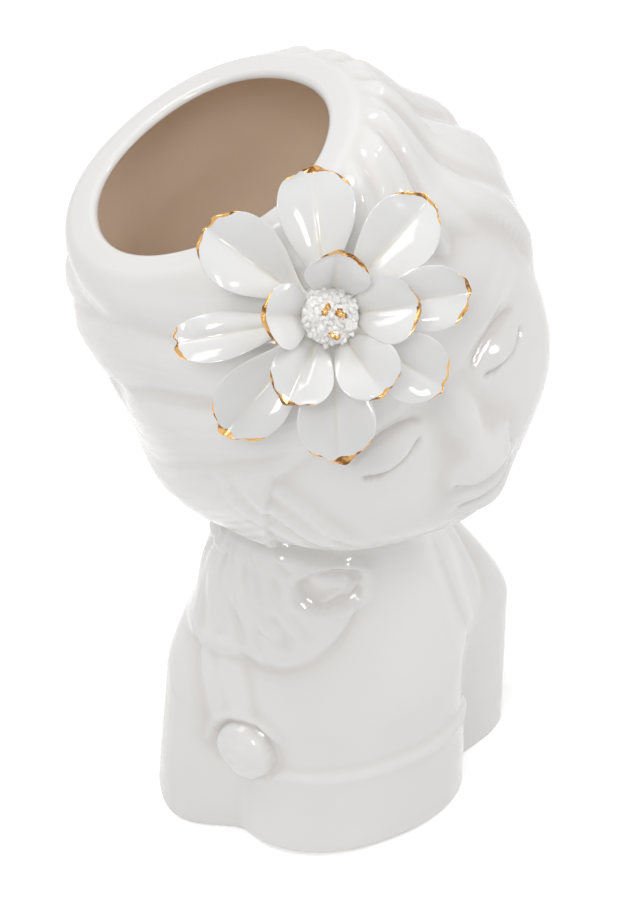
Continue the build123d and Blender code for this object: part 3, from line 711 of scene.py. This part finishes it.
def bust_surface(bust, head, angles, shares, inset):
    """The bust from its base to the neck joint. Below share 0.5 it is the outline drawn straight up to the
    shoulder, and above that a cubic Bezier carries each point over the shoulder to the neck."""
    turn = np.degrees(angles)
    outward = np.stack([np.sin(angles), -np.cos(angles), np.zeros_like(angles)], axis=-1)
    up = np.array([0.0, 0.0, 1.0])
    around = angles - head.sizes.turn
    neck_length, waist_share, root_pull = 16 * MM, 0.95, 12 * MM
    waist = waist_share * (head.sizes.neck_radius - inset)
    root = head.circle(head.neck - neck_length * head.neck_axis, head.neck_axis, waist, around)
    joint = head.circle(head.neck, head.neck_axis, head.sizes.neck_radius - inset, around)
    base = (bust_outline(bust, turn) - inset)[:, None]
    top = base - bust.arm_draft * arm_share(turn, -ARM_TURN)[:, None]
    rise = (bust.shoulder + bust.shoulder_slope * np.sin(angles))[:, None] * up
    shoulder = outward * top + rise
    pull_low = shoulder + bust.crest * up
    pull_high = root - root_pull * up
    wall = np.clip(shares / 0.5, 0, 1)[:, None, None]
    over = np.clip((shares - 0.5) / 0.4, 0, 1)[:, None, None]
    rest = 1 - over
    side = outward * (base + wall * (top - base)) + wall * rise
    crest = rest**3 * shoulder + 3 * over * rest**2 * pull_low + 3 * over**2 * rest * pull_high + over**3 * root
    neck = root + np.clip((shares - 0.9) / 0.1, 0, 1)[:, None, None] * (joint - root)
    s = shares[:, None, None]
    return np.where(s < 0.5, side, np.where(s < 0.9, crest, neck)), outward


def bust_relief(bust, points, turn):
    """Relief of the bust, by angle round it and height in millimetres: the bunch of hair on the neck with its
    strands, which fan out from a tie; the loop and the bead in it; the lock that hangs from it to a knot;
    the tongue of hair on the other shoulder; the fill between chest and left arm; and the bodice's edge."""
    z = points[..., 2] / MM
    reach = np.hypot(points[..., 0], points[..., 1]) / MM
    turn = np.broadcast_to(turn, z.shape)

    def flat(angle, height):
        """Millimetres across and up from a place on the bust."""
        return np.radians(apart(turn, angle)) * reach, z - height

    edge = 67 + 22 * np.clip((turn + 85) / 74, 0, 1.2) ** 3
    sides = ease((turn + 118) / 32) * (1 - ease((turn + 15) / 9))
    top = 108 - 9 * ease((turn + 42) / 26)
    bunch = ease((z - edge) / 6) * sides * (1 - ease((z - top) / 12))
    x, y = flat(-68, 118)
    fan = np.arctan2(x, 10 - y)
    strands = np.sin(19 * fan + 1.5 * np.sin(np.hypot(x, y) / 9)) + 0.4 * np.sin(43 * fan)
    relief = bunch * (2.6 + 0.4 * strands)
    relief += 8.5 * bell(apart(turn, -68) / 46) * bell((z - 98) / 19) * (1 - ease((z - 110) / 14))
    tie = 113 - 7 * np.clip((turn + 74) / 62, 0, 1.5) ** 2
    folds = bell((z - tie) / 1.7) + 0.7 * bell((z - tie + 5.5) / 1.9)
    relief += 0.8 * folds * ease((turn + 100) / 20) * (1 - ease((turn + 8) / 16))
    x, y = flat(-22.5, 100)
    loop = (np.abs(x / 8.4) ** 2.6 + np.abs((y + 0.1 * x) / 6.8) ** 2.6) ** (1 / 2.6)
    squiggle = bell((y + 2.8 - 0.25 * x - 0.5 * np.sin(x)) / 0.8) * (1 - ease((np.abs(x - 2) - 4) / 2.5))
    relief += 0.8 * bell((loop - 1.15) / 0.24) - 2.2 * (1 - ease((loop - 0.65) / 0.45)) + 1.1 * squiggle
    x, y = flat(-51.5, 87)
    relief += 2.4 * bell(np.hypot(x / 2.7, y / 3.3)) + 1.5 * bell(np.hypot(x / 2, (y - 8) / 3.5))
    relief += 0.9 * bell((x - 5.5 + 0.3 * y) / 1.4) * bell((y - 5) / 5)
    x, y = flat(-80, 57)
    sway = x + 0.12 * y + 1.3 * np.sin(y / 6)
    hanging = (1 - ease((np.abs(sway) - 3.5) / 5)) * ease((z - 40) / 7) * (1 - ease((z - 68) / 8))
    relief += 1.7 * hanging * (1 + 0.12 * np.sin(1.1 * sway))
    x, y = flat(-70, 37)
    knot = np.hypot(x, y)
    spiral = wave(knot, 7, -np.arctan2(y, x))
    wrap = bell((knot - 12.2) / 1.5) * ease((y - 0.4 * x) / 7)
    relief += 7.5 * np.sqrt(np.clip(1 - (knot / 9.6) ** 2, 0, 1)) + 0.4 * spiral * bell((knot - 5) / 3)
    relief += 1.1 * wrap
    x, y = flat(76, 74)
    tongue = 1 - ease((np.hypot(x / 6.4, np.minimum(y, 0) / 16) - 0.75) / 0.5)
    relief += 1.0 * tongue * ease((104 - z) / 20)
    relief += 3.0 * bell(apart(turn, 75) / 10) * ease((z - 38) / 26) * (1 - ease((z - 84) / 22))
    front = 1 - ease((np.abs(turn) - 62) / 16)
    below = bust.bodice / MM - z
    relief += front * (1.3 * ease((below + 2) / 5) + 0.5 * bell((below - 1.8) / 2.3))
    return relief * MM


class PLANTER_OT_bust(Operator):
    """Makes the bust: chest, arms, neck and side lock, hollow, with a flat base."""

    bl_idname = "planter.bust"
    bl_label = "Bust"

    def execute(self, context):
        head, look = HeadFrame(context.scene.planter_head), context.scene.planter_finishes
        bust = context.scene.planter_bust
        columns, rows, inner_rows, floor_rows = 360, 210, 48, 8
        angles = np.linspace(-math.pi, math.pi, columns, endpoint=False)
        shares = np.linspace(0, 1, rows)
        outside, outward = bust_surface(bust, head, angles, shares, 0)
        ends = ease(shares / 0.02) * (1 - ease((shares - 0.97) / 0.03))
        relief = bust_relief(bust, outside, np.degrees(angles)) * ends[:, None]
        outside = outside + relief[..., None] * outward
        foot = bust.foot_round * (1 - np.sqrt(np.clip(1 - (1 - outside[..., 2] / bust.foot_round) ** 2, 0, 1)))
        outside = outside - np.where(outside[..., 2] < bust.foot_round, foot, 0)[..., None] * outward
        inner_shares = np.linspace(1, 0.5 * bust.floor / bust.shoulder, inner_rows)
        inside, _ = bust_surface(bust, head, angles, inner_shares, head.sizes.wall)
        inside[-1, :, 2] = bust.floor
        shrink = np.linspace(0, 1, floor_rows)[:, None, None]
        base = outside[:1] * np.array([1, 1, 0]) * (0.03 + 0.97 * shrink)
        floor = inside[-1:] * (1 - 0.97 * shrink) + shrink * 0.97 * np.array([0, 0, bust.floor])
        points = np.concatenate([base, outside, inside, floor[1:]])
        pool = np.zeros(points.shape[:2])
        # Hollows of the bust's relief take the darker glaze colour: pooled glaze and painted shade
        pool[len(base) : len(base) + len(outside)] = glaze_and_shade_in_hollows(relief)
        row_material = np.zeros(len(points), np.int32)
        row_material[len(base) + len(outside) :] = 1
        row_material[: len(base) - 1] = 1
        finishes = casting_finishes(look)
        piece = make_piece("bust", points, False, {"pool": pool}, finishes, row_material)
        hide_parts("bust_shell")
        return {"FINISHED"}


# Flower


class FlowerFrame:
    """The flower's place on the brow and its directions: across, along and out."""

    def __init__(self, scene):
        head, flower = HeadFrame(scene.planter_head), scene.planter_flower
        level = math.cos(flower.azimuth) * head.forward + math.sin(flower.azimuth) * head.left
        self.out = math.cos(flower.elevation) * level + math.sin(flower.elevation) * head.up
        self.seat = head.centre + (cast_radius(head, self.out[None])[0] + flower.seat) * self.out
        self.across = unit(np.cross([0.0, 0.0, 1.0], self.out))
        self.along = np.cross(self.out, self.across)

    def place(self, points, turn=0.0):
        """Points of the flower's own frame, turned about its axis, in the part's frame."""
        c, s = math.cos(turn), math.sin(turn)
        x = c * points[..., 0] - s * points[..., 1]
        y = s * points[..., 0] + c * points[..., 1]
        spread = x[..., None] * self.across + y[..., None] * self.along
        return self.seat + spread + points[..., 2:3] * self.out


def turned(profile, columns):
    """A turned surface: radius and height pairs carried round the axis."""
    angles = np.linspace(0, 2 * math.pi, columns, endpoint=False)
    radius, height = profile[:, :1], np.broadcast_to(profile[:, 1:], (len(profile), columns))
    return np.stack([radius * np.cos(angles), radius * np.sin(angles), height], axis=-1)


class PLANTER_OT_flower_core(Operator):
    """Makes the turned pad under the petals and the domed button on it."""

    bl_idname = "planter.flower_core"
    bl_label = "Flower core"

    def execute(self, context):
        scene, place = context.scene, FlowerFrame(context.scene)
        flower, look = scene.planter_flower, scene.planter_finishes
        core, top = flower.core_radius, flower.core_height
        foot, waist, seat = 11 * MM, 5.5 * MM, 7.5 * MM
        profile = np.array([
            (0.1 * MM, -1.3 * MM), (foot, -1.3 * MM), (foot, 0.6 * MM), (foot - 0.4 * MM, 1.3 * MM),
            (core + 0.6 * MM, seat / 2 - 0.6 * MM), (core, seat / 2 + 0.4 * MM), (core, seat - 0.5 * MM),
            (core - 0.5 * MM, seat), (waist + 0.5 * MM, 8.8 * MM), (waist, 9.6 * MM), (waist, top),
            (0.1 * MM, top),
        ])
        material = petal_glaze(look)
        points = place.place(turned(profile, 64))
        plain = np.zeros(points.shape[:2])
        pad = make_piece("flower_pad", points, materials=(material,), values={"gilt": plain})
        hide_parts("flower_core")
        slope = np.linspace(0, 1, 40)
        edge = flower.button_radius
        lift = 1.5 * MM + flower.button_rise * np.sqrt(np.clip(1 - slope[::-1] ** 2.2, 0, 1))
        dome = np.stack([np.maximum(edge * slope[::-1], 0.05 * MM), top + lift], axis=-1)
        under = np.array([(0.05 * MM, top), (edge - 0.8 * MM, top), (edge - 0.2 * MM, top + 0.4 * MM)])
        surface = turned(np.concatenate([under, dome]), 96)
        rough = np.random.default_rng(7).normal(0, 1, surface.shape[:2])
        surface[..., 2] += 0.9 * MM * blurred(rough, 3) * ease((np.arange(len(surface)) - 3) / 4)[:, None]
        points = place.place(surface)
        button = make_piece("flower_button_dome", points, materials=(grain_glaze(look),))
        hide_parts("flower_button")
        return {"FINISHED"}


def grain_mesh(name, centres, sizes, seed, rows=6, columns=9):
    """Many small lumps in one mesh: each is an ellipsoid grid with a random radius per point."""
    rng = np.random.default_rng(seed)
    polar = np.linspace(0.12, math.pi - 0.12, rows)
    angles = np.linspace(0, 2 * math.pi, columns, endpoint=False)
    ball = np.stack([
        np.outer(np.sin(polar), np.cos(angles)),
        np.outer(np.sin(polar), np.sin(angles)),
        np.outer(np.cos(polar), np.ones(columns)),
    ], axis=-1)
    count = len(centres)
    lumps = rng.uniform(0.7, 1.25, (count, rows, columns, 1))
    shapes = ball * lumps * sizes[:, None, None, :]
    points = centres[:, None, None, :] + shapes
    faces = grid_faces(rows, columns, False)
    caps = np.array([np.arange(columns)[::-1], np.arange(columns) + (rows - 1) * columns])
    offset = np.arange(count)[:, None, None] * rows * columns
    quads = (faces[None] + offset).reshape(-1, 4)
    ends = list((caps[None] + offset).reshape(-1, columns))
    mesh = bpy.data.meshes.new(name)
    fill_mesh(mesh, points.reshape(-1, 3), quads, ends)
    return mesh


class PLANTER_OT_grains(Operator):
    """Crumbles clay grains over the button, a few of them gilded."""

    bl_idname = "planter.grains"
    bl_label = "Grains"

    def execute(self, context):
        scene, place = context.scene, FlowerFrame(context.scene)
        flower, look = scene.planter_flower, scene.planter_finishes
        rng = np.random.default_rng(11)
        count = flower.grains
        k = np.arange(count) + 0.5
        radius = (flower.button_radius - 0.3 * MM) * np.sqrt(k / count) + rng.normal(0, 0.25 * MM, count)
        turn = k * math.pi * (3 - math.sqrt(5)) + rng.normal(0, 0.1, count)
        share = np.clip(radius / flower.button_radius, 0, 0.995)
        height = flower.core_height + 1.5 * MM + flower.button_rise * np.sqrt(1 - share**2.2)
        local = np.stack([radius * np.cos(turn), radius * np.sin(turn), height], axis=-1)
        sizes = rng.uniform(0.6, 1.3, (count, 3)) * MM
        mesh = grain_mesh("clay_grains", place.place(local), sizes, 3)
        mesh.materials.append(grain_glaze(look))
        grains = link_piece("clay_grains", mesh)
        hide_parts("stamen_grains")
        spots = np.array([(-1.6, 1.5), (3.1, 0.3), (0.2, -4.4), (-0.8, 2.5), (2.1, 0.9), (1.1, -4.9)]) * MM
        reach = np.hypot(*spots.T) / flower.button_radius
        top = flower.core_height + 2.0 * MM + flower.button_rise * np.sqrt(1 - reach**2.2)
        nuggets = np.column_stack([spots, top])
        mesh = grain_mesh("gilt_nuggets", place.place(nuggets), rng.uniform(0.8, 1.35, (6, 3)) * MM, 5, 9, 14)
        mesh.materials.append(finish_named("fired_gold_lustre", gold_material, look.gold, look.painted_dark_reflection))
        gilt = link_piece("gilt_nuggets", mesh)
        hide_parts("gilt_grains")
        return {"FINISHED"}


def petal_outline(u):
    """Half width along a petal as a share: it opens from a narrow root and closes in a rounded end."""
    open_up = 0.17 + 0.83 * ease(u / 0.68) ** 0.85
    close = np.clip((u - 0.6) / 0.4, 0, 1)
    return open_up * np.sqrt(np.clip(1 - close**2.6, 0, 1))


def petal_surface(flower, length, width, seat, root, bends, cup, point, seed):
    """One petal along +X. Its midline turns steadily from a lift to a fall and up again at the tip. Across
    it, the height is a cup that grows with the distance from the midline, so that its halves fold along a
    soft groove, a pillow in each half, and a ripple at the edges. The tip is drawn out by a bell across it
    and a small wave. A flat ellipse across gives it its thickness. Also gives the gilt, by distance from the
    edge near the tip, and where a lighter, warmer glow is painted in, in the groove and at the root, for
    light shining through the thin clay."""
    rng = np.random.default_rng(seed)
    lift, fall, tip = bends
    rows, columns = 60, 72
    u = np.sin(np.linspace(0, math.pi / 2, rows))
    w = np.linspace(0, 2 * math.pi, columns, endpoint=False)
    v, face = np.cos(w), np.sin(w)
    slope = lift - fall * u + tip * ease((u - 0.78) / 0.22)
    step = np.diff(u, prepend=0)
    reach = root + length * np.cumsum(np.cos(slope) * step)
    rise = seat + length * np.cumsum(np.sin(slope) * step)
    half = width / 2 * petal_outline(u)
    phases = rng.uniform(0, 2 * math.pi, 4)
    u, slope, side = u[:, None], slope[:, None], half[:, None] * v
    drawn = point * bell(side / (0.2 * width)) + 0.014 * np.sin(13 * side / width + phases[0])
    drawn = length * u**6 * (drawn + 0.008 * np.sin(29 * side / width + phases[1]))
    groove = 0.4 * MM * bell(v / 0.13) * ease(u / 0.3) * (1 - ease((u - 0.7) / 0.3))
    ripple = np.where(v > 0, np.sin(6 * u + phases[2]), np.sin(6 * u + phases[3]))
    edge = np.abs(v) ** 3 * ease((u - 0.3) / 0.5)
    fold = cup * (0.65 * np.sqrt(v**2 + 0.01) + 0.35 * v**2) * half[:, None] * ease(u / 0.35)
    thick = flower.thickness + (1.0 * MM) * (1 - u) ** 2
    pillow = 0.7 * MM * np.sin(math.pi * np.abs(v)) * ease(u / 0.4) * (1 - ease((u - 0.7) / 0.3))
    rim = 0.5 * thick * np.sign(face) * np.abs(face) ** 0.7
    body = fold + pillow - groove + 0.9 * MM * ripple * edge + rim
    along = reach[:, None] - body * np.sin(slope) + drawn * np.cos(slope)
    up = rise[:, None] + body * np.cos(slope) + drawn * np.sin(slope)
    points = np.stack([along, side, up], axis=-1)
    inward = np.minimum(half[:, None] * (1 - np.abs(v)), length * (1 - u))
    start = np.where(v > 0, rng.uniform(0.74, 0.9), rng.uniform(0.74, 0.9))
    uneven = 0.75 + 0.4 * np.sin(14 * side / width + phases[0]) * rng.uniform(0.5, 1)
    gilt = ease((flower.gilt_width * uneven * ease((u - start) / 0.16) - inward) / (0.5 * MM))
    # The last value is the painted glow: strongest at the root and along the groove
    return points, gilt, np.clip(groove / (0.8 * MM) + 0.8 * (1 - u) ** 2, 0, 1)


def make_petals(context, whorl, table, length, width, seat, root, bends, cup):
    """Every petal of a whorl as a piece of its own."""
    place, look = FlowerFrame(context.scene), context.scene.planter_finishes
    flower = context.scene.planter_flower
    for number, (turn, length_share, width_share, twist, raised, point) in enumerate(table, 1):
        size = (length * length_share, width * width_share)
        lifted = (bends[0] + math.radians(raised), *bends[1:])
        seed = 40 + number + len(table)
        points, gilt, pool = petal_surface(flower, *size, seat, root, lifted, cup, point, seed)
        lean = math.radians(twist)
        x, y, z = np.moveaxis(points, -1, 0)
        tilted = np.stack([x, y * math.cos(lean), z + y * math.sin(lean)], axis=-1)
        points = place.place(tilted, math.radians(turn))
        values = {"gilt": gilt, "pool": pool}
        piece = make_piece(f"{whorl}_petal_{number}", points, values=values, materials=(petal_glaze(look),))
        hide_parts(f"petal_{whorl}_{number}")


class PLANTER_OT_outer_petals(Operator):
    """Makes the outer whorl of petals, laid back over the brow."""

    bl_idname = "planter.outer_petals"
    bl_label = "Outer petals"

    def execute(self, context):
        flower = context.scene.planter_flower
        bends = [math.radians(bend) for bend in (20, 40, 14)]
        root = flower.core_radius - 1.0 * MM
        size = (flower.outer_length, flower.outer_width)
        make_petals(context, "outer", OUTER_PETALS, *size, seat=4.6 * MM, root=root, bends=bends, cup=0.42)
        return {"FINISHED"}


class PLANTER_OT_inner_petals(Operator):
    """Makes the inner whorl of petals, raised about the button."""

    bl_idname = "planter.inner_petals"
    bl_label = "Inner petals"

    def execute(self, context):
        flower = context.scene.planter_flower
        bends = [math.radians(bend) for bend in (38, 26, 10)]
        size = (flower.inner_length, flower.inner_width)
        make_petals(context, "inner", INNER_PETALS, *size, seat=9.2 * MM, root=4.5 * MM, bends=bends, cup=0.42)
        return {"FINISHED"}


# Stage

# Half the floor's width in metres
FLOOR_REACH = 9

# Where the lamps point, and the lamps: name, place, width and height in metres, watts, whether they show in
# gloss, and whether they light the scene
LAMP_AIM = Vector((-0.01, 0.0, 0.15))
LAMPS = [
    ("key_box", (-0.8, -1.0, 1.2), (0.6, 0.5), 7.5, False, True),
    ("fill_box", (0.8, -0.5, 1.3), (0.6, 0.9), 7.4, False, True),
    ("top_box", (-0.6, 0.3, 1.4), (0.6, 0.6), 5.6, True, True),
    ("left_window", (-0.7, -0.9, 0.9), (0.16, 0.38), 4.0, True, False),
    ("front_window", (-0.15, -1.1, 1.1), (0.24, 0.1), 1.6, True, False),
    ("right_window", (0.75, -0.95, 0.7), (0.14, 0.34), 3.0, True, False),
    ("upper_window", (0.72, -0.2, 1.2), (0.12, 0.26), 1.6, True, False),
]


def area_lamp(name, at, size, power, mirrored, lights):
    """A soft box that faces the object. It shows in gloss or not, and lights the scene or only shows."""
    data = bpy.data.lights.new(name, "AREA")
    data.shape, data.size, data.size_y, data.energy = "RECTANGLE", size[0], size[1], power
    lamp = bpy.data.objects.new(name, data)
    lamp.location = at
    lamp.rotation_euler = (LAMP_AIM - Vector(at)).to_track_quat("-Z", "Y").to_euler()
    lamp.visible_glossy, lamp.visible_diffuse = mirrored, lights
    bpy.context.scene.collection.objects.link(lamp)


def floor_material(colour):
    """Matt white paper sweep. It takes the shadow, and shows white to the camera and in reflections, also
    beyond about 2 m, where the lamps no longer reach."""
    material, tree = new_material("white_paper_sweep")
    seen = seen_by(tree, "Is Camera Ray", "Is Glossy Ray")
    place = node(tree, "TexCoord")
    away = node(tree, "VectorMath", {0: (place, "Object")}, operation="LENGTH")
    span = {"From Min": 0.7, "From Max": 2.4, "To Min": 0.3, "To Max": 0.66}
    level = node(tree, "MapRange", {"Value": (away, "Value")}, span, interpolation_type="SMOOTHSTEP")
    glow = node(tree, "Math", {0: (seen, 0), 1: (level, "Result")}, operation="MULTIPLY")
    paper = {"Base Color": linear(colour), "Roughness": 0.9, "Emission Color": (1, 1, 1, 1)}
    return surfaced(material, {"Emission Strength": (glow, 0)}, paper)


class PLANTER_OT_stage(Operator):
    """Sets the pale floor, the soft boxes, the white surround and the camera."""

    bl_idname = "planter.stage"
    bl_label = "Stage"

    def execute(self, context):
        scene, look = context.scene, context.scene.planter_finishes
        mesh = bpy.data.meshes.new("floor")
        corners = FLOOR_REACH * np.array([(-1, -1, 0), (1, -1, 0), (1, 1, 0), (-1, 1, 0)], float)
        fill_mesh(mesh, corners, np.array([[0, 1, 2, 3]]))
        mesh.materials.append(floor_material(look.floor))
        floor = bpy.data.objects.new("floor", mesh)
        scene.collection.objects.link(floor)
        for lamp in LAMPS:
            area_lamp(*lamp)
        self.surround(scene)
        self.camera(scene)
        scene.view_settings.view_transform = "Standard"
        return {"FINISHED"}

    def surround(self, scene):
        """White to the camera, in gloss and through glass, and a plain grey light elsewhere."""
        world = bpy.data.worlds.new("studio")
        world.use_nodes = True
        tree = world.node_tree
        tree.nodes.clear()
        seen = seen_by(tree, "Is Camera Ray", "Is Glossy Ray", "Is Transmission Ray")
        level = node(tree, "MapRange", {"Value": (seen, 0)}, {"To Min": 0.4, "To Max": 1.0})
        light = node(tree, "Background", {"Strength": (level, "Result")}, {"Color": (1, 1, 1, 1)})
        node(tree, "OutputWorld", {"Surface": (light, "Background")})
        scene.world = world

    def camera(self, scene):
        """A long lens above and to the figure's right, framed as 619 by 900 pixels."""
        azimuth, elevation, distance = math.radians(-25), math.radians(35), 900 * MM
        focal_pixels, long_side = 2970, 900
        back = Vector((
            math.sin(azimuth) * math.cos(elevation),
            -math.cos(azimuth) * math.cos(elevation),
            math.sin(elevation),
        ))
        right = Vector((math.cos(azimuth), math.sin(azimuth), 0))
        aim = Vector((0, 0, 120 * MM)) - 11.1 * MM * right + 7.3 * MM * back.cross(right)
        data = bpy.data.cameras.new("camera")
        data.sensor_width = 36
        data.lens = data.sensor_width * focal_pixels / long_side
        camera = bpy.data.objects.new("camera", data)
        camera.location = aim + distance * back
        camera.rotation_mode = "QUATERNION"
        camera.rotation_quaternion = (-back).to_track_quat("-Z", "Y")
        scene.collection.objects.link(camera)
        scene.camera = camera


class PLANTER_PT_panel(Panel):
    """Lists the planter's sizes, colours and pieces."""

    bl_idname = "PLANTER_PT_panel"
    bl_label = "Head planter"
    bl_space_type = "VIEW_3D"
    bl_region_type = "UI"
    bl_category = "Planter"

    def draw(self, context):
        for title, group in GROUPS.items():
            box = self.layout.box()
            box.label(text=title[len("planter_") :].capitalize())
            sizes = getattr(context.scene, title)
            for key in group.__annotations__:
                box.prop(sizes, key)
        for operator in OPERATORS:
            self.layout.operator(operator.bl_idname)


GROUPS = {
    "planter_head": HeadSizes,
    "planter_bust": BustSizes,
    "planter_flower": FlowerSizes,
    "planter_finishes": Finishes,
}
OPERATORS = (
    PLANTER_OT_head,
    PLANTER_OT_bust,
    PLANTER_OT_flower_core,
    PLANTER_OT_grains,
    PLANTER_OT_outer_petals,
    PLANTER_OT_inner_petals,
    PLANTER_OT_stage,
)


def register():
    for kind in (*GROUPS.values(), *OPERATORS, PLANTER_PT_panel):
        bpy.utils.register_class(kind)
    for name, group in GROUPS.items():
        setattr(bpy.types.Scene, name, PointerProperty(type=group))


def unregister():
    for name in GROUPS:
        delattr(bpy.types.Scene, name)
    for kind in (PLANTER_PT_panel, *reversed(OPERATORS), *reversed(GROUPS.values())):
        bpy.utils.unregister_class(kind)


def main():
    register()
    for operator in OPERATORS:
        group, name = operator.bl_idname.split(".")
        getattr(getattr(bpy.ops, group), name)()


if __name__ == "__main__":
    main()
